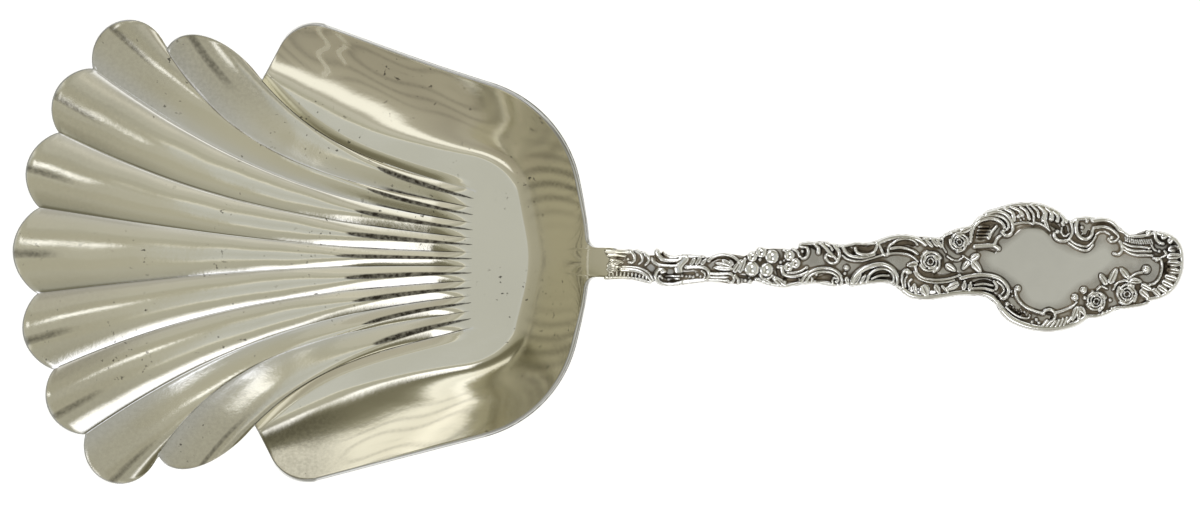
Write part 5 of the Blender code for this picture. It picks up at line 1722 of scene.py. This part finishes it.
# Single lights and screens: where each comes up and goes, along the near-far and the front-handle lean
PATCHES = (
    (((-0.56, -0.50), (-0.34, -0.42)), ((-0.5, -0.4), (-0.02, -0.06)), (1.0, 0.985, 0.92)),
    (((0.22, 0.29), (0.50, 0.45)), ((-0.13, -0.05), (0.045, 0.015)), (1.5, 1.5, 1.55)),
    (((-0.66, -0.58), (-0.24, -0.30)), ((-0.09, -0.04), (0.06, 0.02)), (0.60, 0.58, 0.50)),
    (((-0.12, -0.09), (0.12, 0.09)), ((0.05, 0.08), (0.36, 0.31)), (0.475, 0.463, 0.392)),
    (((-0.18, -0.12), (-0.035, -0.05)), ((0.05, 0.08), (0.34, 0.28)), (0.44, 0.425, 0.345)),
    (((0.035, 0.05), (0.18, 0.12)), ((0.05, 0.08), (0.34, 0.28)), (0.44, 0.425, 0.345)),
    (((-0.075, -0.06), (-0.03, -0.045)), ((0.095, 0.112), (0.158, 0.146)), (1.4, 1.4, 1.4)),
)
LEAN_LIMIT = 1.0
# Lamps that light the handle alone: azimuth in degrees, and slope of the metal that shows each
HANDLE_LAMPS = ((100.0, 0.30), (195.0, 0.40), (-80.0, 0.32))
HANDLE_LAMP_SIZE = 0.4
HANDLE_MIDDLE = 0.06
# Softbox: its sides, how far it stands towards the near side, and its height
SOFTBOX_SIZE = (0.8, 0.3)
SOFTBOX_NEAR = 0.55
SOFTBOX_HEIGHT = 1.1
# Keeps the lean finite straight below
LEAN_BASE = 1.02
TABLE_STEPS = 24
SENSOR_WIDTH = 36.0
VIEW_DEPTH = 10.0


class StudioNodes(Nodes):
    """The same helper for the light of a world."""

    def __init__(self, name):
        self.world = bpy.data.worlds.new(name)
        self.world.use_nodes = True
        self.tree = self.world.node_tree
        self.background = self.tree.nodes["Background"]

    def light(self, value, low, high, stops):
        """The light for a value between low and high, from stops."""
        ramp = self.add("ShaderNodeValToRGB")
        self.join(self.ranged(value, low, high, 0.0, 1.0), ramp.inputs["Fac"])
        points = ramp.color_ramp.elements
        while len(points) < len(stops):
            points.new(0.5)
        for point, (place, light) in zip(points, stops):
            point.position = (place - low) / (high - low)
            point.color = (*light, 1.0)
        return ramp.outputs["Color"]

    def edge(self, value, low, high):
        """A soft edge that comes up from low to high."""
        result = self.ranged(value, low, high, 0.0, 1.0)
        result.node.interpolation_type = "SMOOTHSTEP"
        return result


def light_studio(stage):
    """A soft studio: bands of light and dark, a plain zone overhead and a few single lights."""
    nodes = StudioNodes("studio")
    bpy.context.scene.world = nodes.world
    place = nodes.add("ShaderNodeTexCoord")
    parts = nodes.add("ShaderNodeSeparateXYZ")
    nodes.join(place.outputs["Generated"], parts.inputs["Vector"])
    above = nodes.maths("ADD", parts.outputs["Z"], LEAN_BASE)
    far = nodes.maths("DIVIDE", parts.outputs["Y"], above)
    handle = nodes.maths("DIVIDE", parts.outputs["X"], above)
    bands = nodes.mixed(
        None,
        nodes.light(far, -LEAN_LIMIT, LEAN_LIMIT, NEAR_FAR_LIGHT),
        nodes.light(handle, -LEAN_LIMIT, LEAN_LIMIT, FRONT_HANDLE_SHARE), "MULTIPLY")
    squares = [nodes.maths("MULTIPLY", lean, lean) for lean in (far, handle)]
    any_way = nodes.maths("POWER", nodes.maths("ADD", *squares), 0.5)
    either_side = nodes.maths("ABSOLUTE", far, 0.0)
    overhead = nodes.light(either_side, 0.0, OVERHEAD_LIGHT[-1][0], OVERHEAD_LIGHT)
    light = nodes.mixed(nodes.edge(any_way, *OVERHEAD_EDGE), bands, overhead)
    for far_edges, handle_edges, colour in PATCHES:
        edges = [nodes.edge(far, *span) for span in far_edges]
        edges += [nodes.edge(handle, *span) for span in handle_edges]
        share = edges[0]
        for edge in edges[1:]:
            share = nodes.maths("MULTIPLY", share, edge)
        light = nodes.mixed(share, light, colour)
    nodes.join(light, nodes.background.inputs["Color"])
    nodes.background.inputs["Strength"].default_value = stage.studio_light


def light_handle(name, middle, azimuth, lean, power):
    """A lamp that lights the handle alone, seen in metal that leans towards an azimuth by a slope."""
    lamp = bpy.data.lights.new(name, "AREA")
    lamp.size = HANDLE_LAMP_SIZE
    lamp.energy = power
    height = 2 * math.atan(lean)
    reach = math.sin(height)
    place = Vector((reach * math.cos(azimuth), reach * math.sin(azimuth), math.cos(height)))
    item = bpy.data.objects.new(name, lamp)
    item.location = middle + Vector((HANDLE_MIDDLE, 0.0, 0.0)) + place
    item.rotation_euler = place.to_track_quat("Z", "Y").to_euler()
    bpy.context.scene.collection.objects.link(item)
    lit = bpy.data.collections.new(name)
    lit.objects.link(bpy.data.objects["scrolled_handle"])
    item.light_linking.receiver_collection = lit


def make_stage(stage):
    """The white table, the studio light and the camera looking straight down."""
    half = stage.table_size / 2
    middle = Vector(stage.view_middle)
    places = [half * (2 * step / TABLE_STEPS - 1) for step in range(TABLE_STEPS + 1)]
    points = [(along, side, 0.0) for along in places for side in places]
    mesh = bpy.data.meshes.new("table")
    mesh.from_pydata(points, [], ring_quads(len(places), len(places), False))
    mesh.materials.append(table_white(stage))
    table = bpy.data.objects.new("table", mesh)
    table.location = middle
    bpy.context.scene.collection.objects.link(table)
    light_studio(stage)
    lamp = bpy.data.lights.new("softbox", "AREA")
    lamp.shape = "RECTANGLE"
    lamp.size, lamp.size_y = SOFTBOX_SIZE
    lamp.energy = stage.softbox
    box = bpy.data.objects.new("softbox", lamp)
    box.location = (middle.x, middle.y - SOFTBOX_NEAR, SOFTBOX_HEIGHT)
    box.rotation_euler = (math.atan2(SOFTBOX_NEAR, SOFTBOX_HEIGHT), 0.0, 0.0)
    bpy.context.scene.collection.objects.link(box)
    for index, (azimuth, lean) in enumerate(HANDLE_LAMPS):
        light_handle("handle_lamp_%d" % index, middle, math.radians(azimuth), lean, stage.handle_light)
    camera = bpy.data.cameras.new("camera")
    camera.sensor_width = SENSOR_WIDTH
    camera.lens = camera.sensor_width * stage.view_height / stage.view_width
    camera.clip_end = VIEW_DEPTH
    eye = bpy.data.objects.new("camera", camera)
    eye.location = (middle.x, middle.y, stage.view_height)
    bpy.context.scene.collection.objects.link(eye)
    bpy.context.scene.camera = eye
    bpy.context.scene.view_settings.view_transform = "Standard"


# Properties, operators and panel

def length(name, description, default, precision=5):
    """A length in metres."""
    return FloatProperty(
        name=name, description=description, default=default, precision=precision, unit="LENGTH")


def factor(name, description, default):
    """A share from 0 to 1."""
    return FloatProperty(
        name=name, description=description, default=default, subtype="FACTOR", min=0.0, max=1.0)


def colour(name, description, default):
    """A colour."""
    return FloatVectorProperty(
        name=name, description=description, default=default, subtype="COLOR", min=0.0, max=1.0)


class SpoonBowlSizes(bpy.types.PropertyGroup):
    """Sizes of the bowl."""

    sheet: length("Sheet", "Thickness of the bowl's sheet", 0.001)
    rim_round: length("Rim rounding", "Radius of the rim's edges", 0.00022)
    rib_root: length("Rib root", "Height of the ribs at their roots", 0.00062)
    rib_tip: length("Rib tip", "Height of the ribs at the rim", 0.0012)
    unevenness: length("Unevenness", "Depth of the planishing marks", 0.00002, 6)


class SpoonHandleSizes(bpy.types.PropertyGroup):
    """Sizes of the handle."""

    relief: FloatProperty(
        name="Relief", description="Scale of the ornament's height", default=1.0, subtype="FACTOR")
    ground_sink: length("Ground", "How far the ground lies under the handle's face", 0.0004)
    edge_round: length("Edge rounding", "Rounding of the outline's edge", 0.0003)
    cell: length("Cell", "Fineness of the ornament", 0.00011)
    back_step: IntProperty(
        name="Back step", description="Cells between points of the plain back", default=5, min=1)


class SpoonFinish(bpy.types.PropertyGroup):
    """Colours and gloss of the metals."""

    gilt: colour("Gilt", "Colour of the gilding", (0.93, 0.905, 0.79))
    silver: colour("Silver", "Colour of the silver", (0.92, 0.93, 0.95))
    oxide: colour("Oxide", "Colour of the deepest hollows", (0.055, 0.047, 0.038))
    bloom: colour("Bloom", "Colour of the lighter oxide", (0.25, 0.21, 0.16))
    gilt_roughness: factor("Gilt roughness", "Roughness of the gilding", 0.09)
    silver_roughness: factor("Silver roughness", "Roughness of the silver", 0.12)


class SpoonStage(bpy.types.PropertyGroup):
    """Table, light and camera."""

    table: colour("Table", "Colour of the table", (0.92, 0.92, 0.915))
    table_size: length("Table size", "Side of the table", 4.0)
    table_glow: FloatProperty(name="Table glow", description="Light from below the table", default=0.8)
    studio_light: FloatProperty(name="Studio light", description="Strength of the studio", default=1.0)
    softbox: FloatProperty(name="Softbox", description="Power of the softbox", default=0.05, unit="POWER")
    handle_light: FloatProperty(
        name="Handle light", description="Power of each lamp of the handle", default=1.3, unit="POWER")
    view_middle: FloatVectorProperty(
        name="View middle", description="Place on the table under the camera",
        default=(0.01897, 0.00132, 0.0), subtype="TRANSLATION", precision=5)
    view_width: length("View width", "Width of table in view", 0.22154)
    view_height: length("View height", "Height of the camera", 2.4)


class SPOON_OT_bowl(bpy.types.Operator):
    """Build the gilt-lined bowl"""

    bl_idname = "spoon.bowl"
    bl_label = "Bowl"

    def execute(self, context):
        make_bowl(context.scene.spoon_bowl, context.scene.spoon_finish)
        return {"FINISHED"}


class SPOON_OT_handle(bpy.types.Operator):
    """Build the scrolled handle and its tongue"""

    bl_idname = "spoon.handle"
    bl_label = "Handle"

    def execute(self, context):
        scene = context.scene
        make_handle(scene.spoon_bowl, scene.spoon_handle, scene.spoon_finish)
        return {"FINISHED"}


class SPOON_OT_solder(bpy.types.Operator):
    """Build the solder between the bowl and the tongue"""

    bl_idname = "spoon.solder"
    bl_label = "Solder"

    def execute(self, context):
        make_solder(context.scene.spoon_bowl, context.scene.spoon_finish)
        return {"FINISHED"}


class SPOON_OT_stage(bpy.types.Operator):
    """Set the table, the light and the camera"""

    bl_idname = "spoon.stage"
    bl_label = "Stage"

    def execute(self, context):
        make_stage(context.scene.spoon_stage)
        return {"FINISHED"}


class SPOON_PT_panel(bpy.types.Panel):
    """Sizes, finishes and makers of the spoon"""

    bl_idname = "SPOON_PT_panel"
    bl_label = "Cracker Spoon"
    bl_space_type = "VIEW_3D"
    bl_region_type = "UI"
    bl_category = "Spoon"

    def draw(self, context):
        for group, _ in GROUPS:
            settings = getattr(context.scene, group)
            box = self.layout.box()
            for label in settings.bl_rna.properties.keys():
                if label not in {"rna_type", "name"}:
                    box.prop(settings, label)
        for operator in OPERATORS:
            self.layout.operator(operator.bl_idname)


GROUPS = (
    ("spoon_bowl", SpoonBowlSizes),
    ("spoon_handle", SpoonHandleSizes),
    ("spoon_finish", SpoonFinish),
    ("spoon_stage", SpoonStage),
)
OPERATORS = (SPOON_OT_bowl, SPOON_OT_handle, SPOON_OT_solder, SPOON_OT_stage)


def register():
    """Register the classes and hang the property groups on the scene."""
    for name, kind in GROUPS:
        bpy.utils.register_class(kind)
        setattr(bpy.types.Scene, name, PointerProperty(type=kind))
    for kind in (*OPERATORS, SPOON_PT_panel):
        bpy.utils.register_class(kind)


def unregister():
    """Take everything off again."""
    for kind in reversed((*OPERATORS, SPOON_PT_panel)):
        bpy.utils.unregister_class(kind)
    for name, kind in reversed(GROUPS):
        delattr(bpy.types.Scene, name)
        bpy.utils.unregister_class(kind)


def main():
    """Build the spoon and its stage."""
    register()
    bpy.ops.spoon.bowl()
    bpy.ops.spoon.handle()
    bpy.ops.spoon.solder()
    bpy.ops.spoon.stage()


if __name__ == "__main__":
    main()
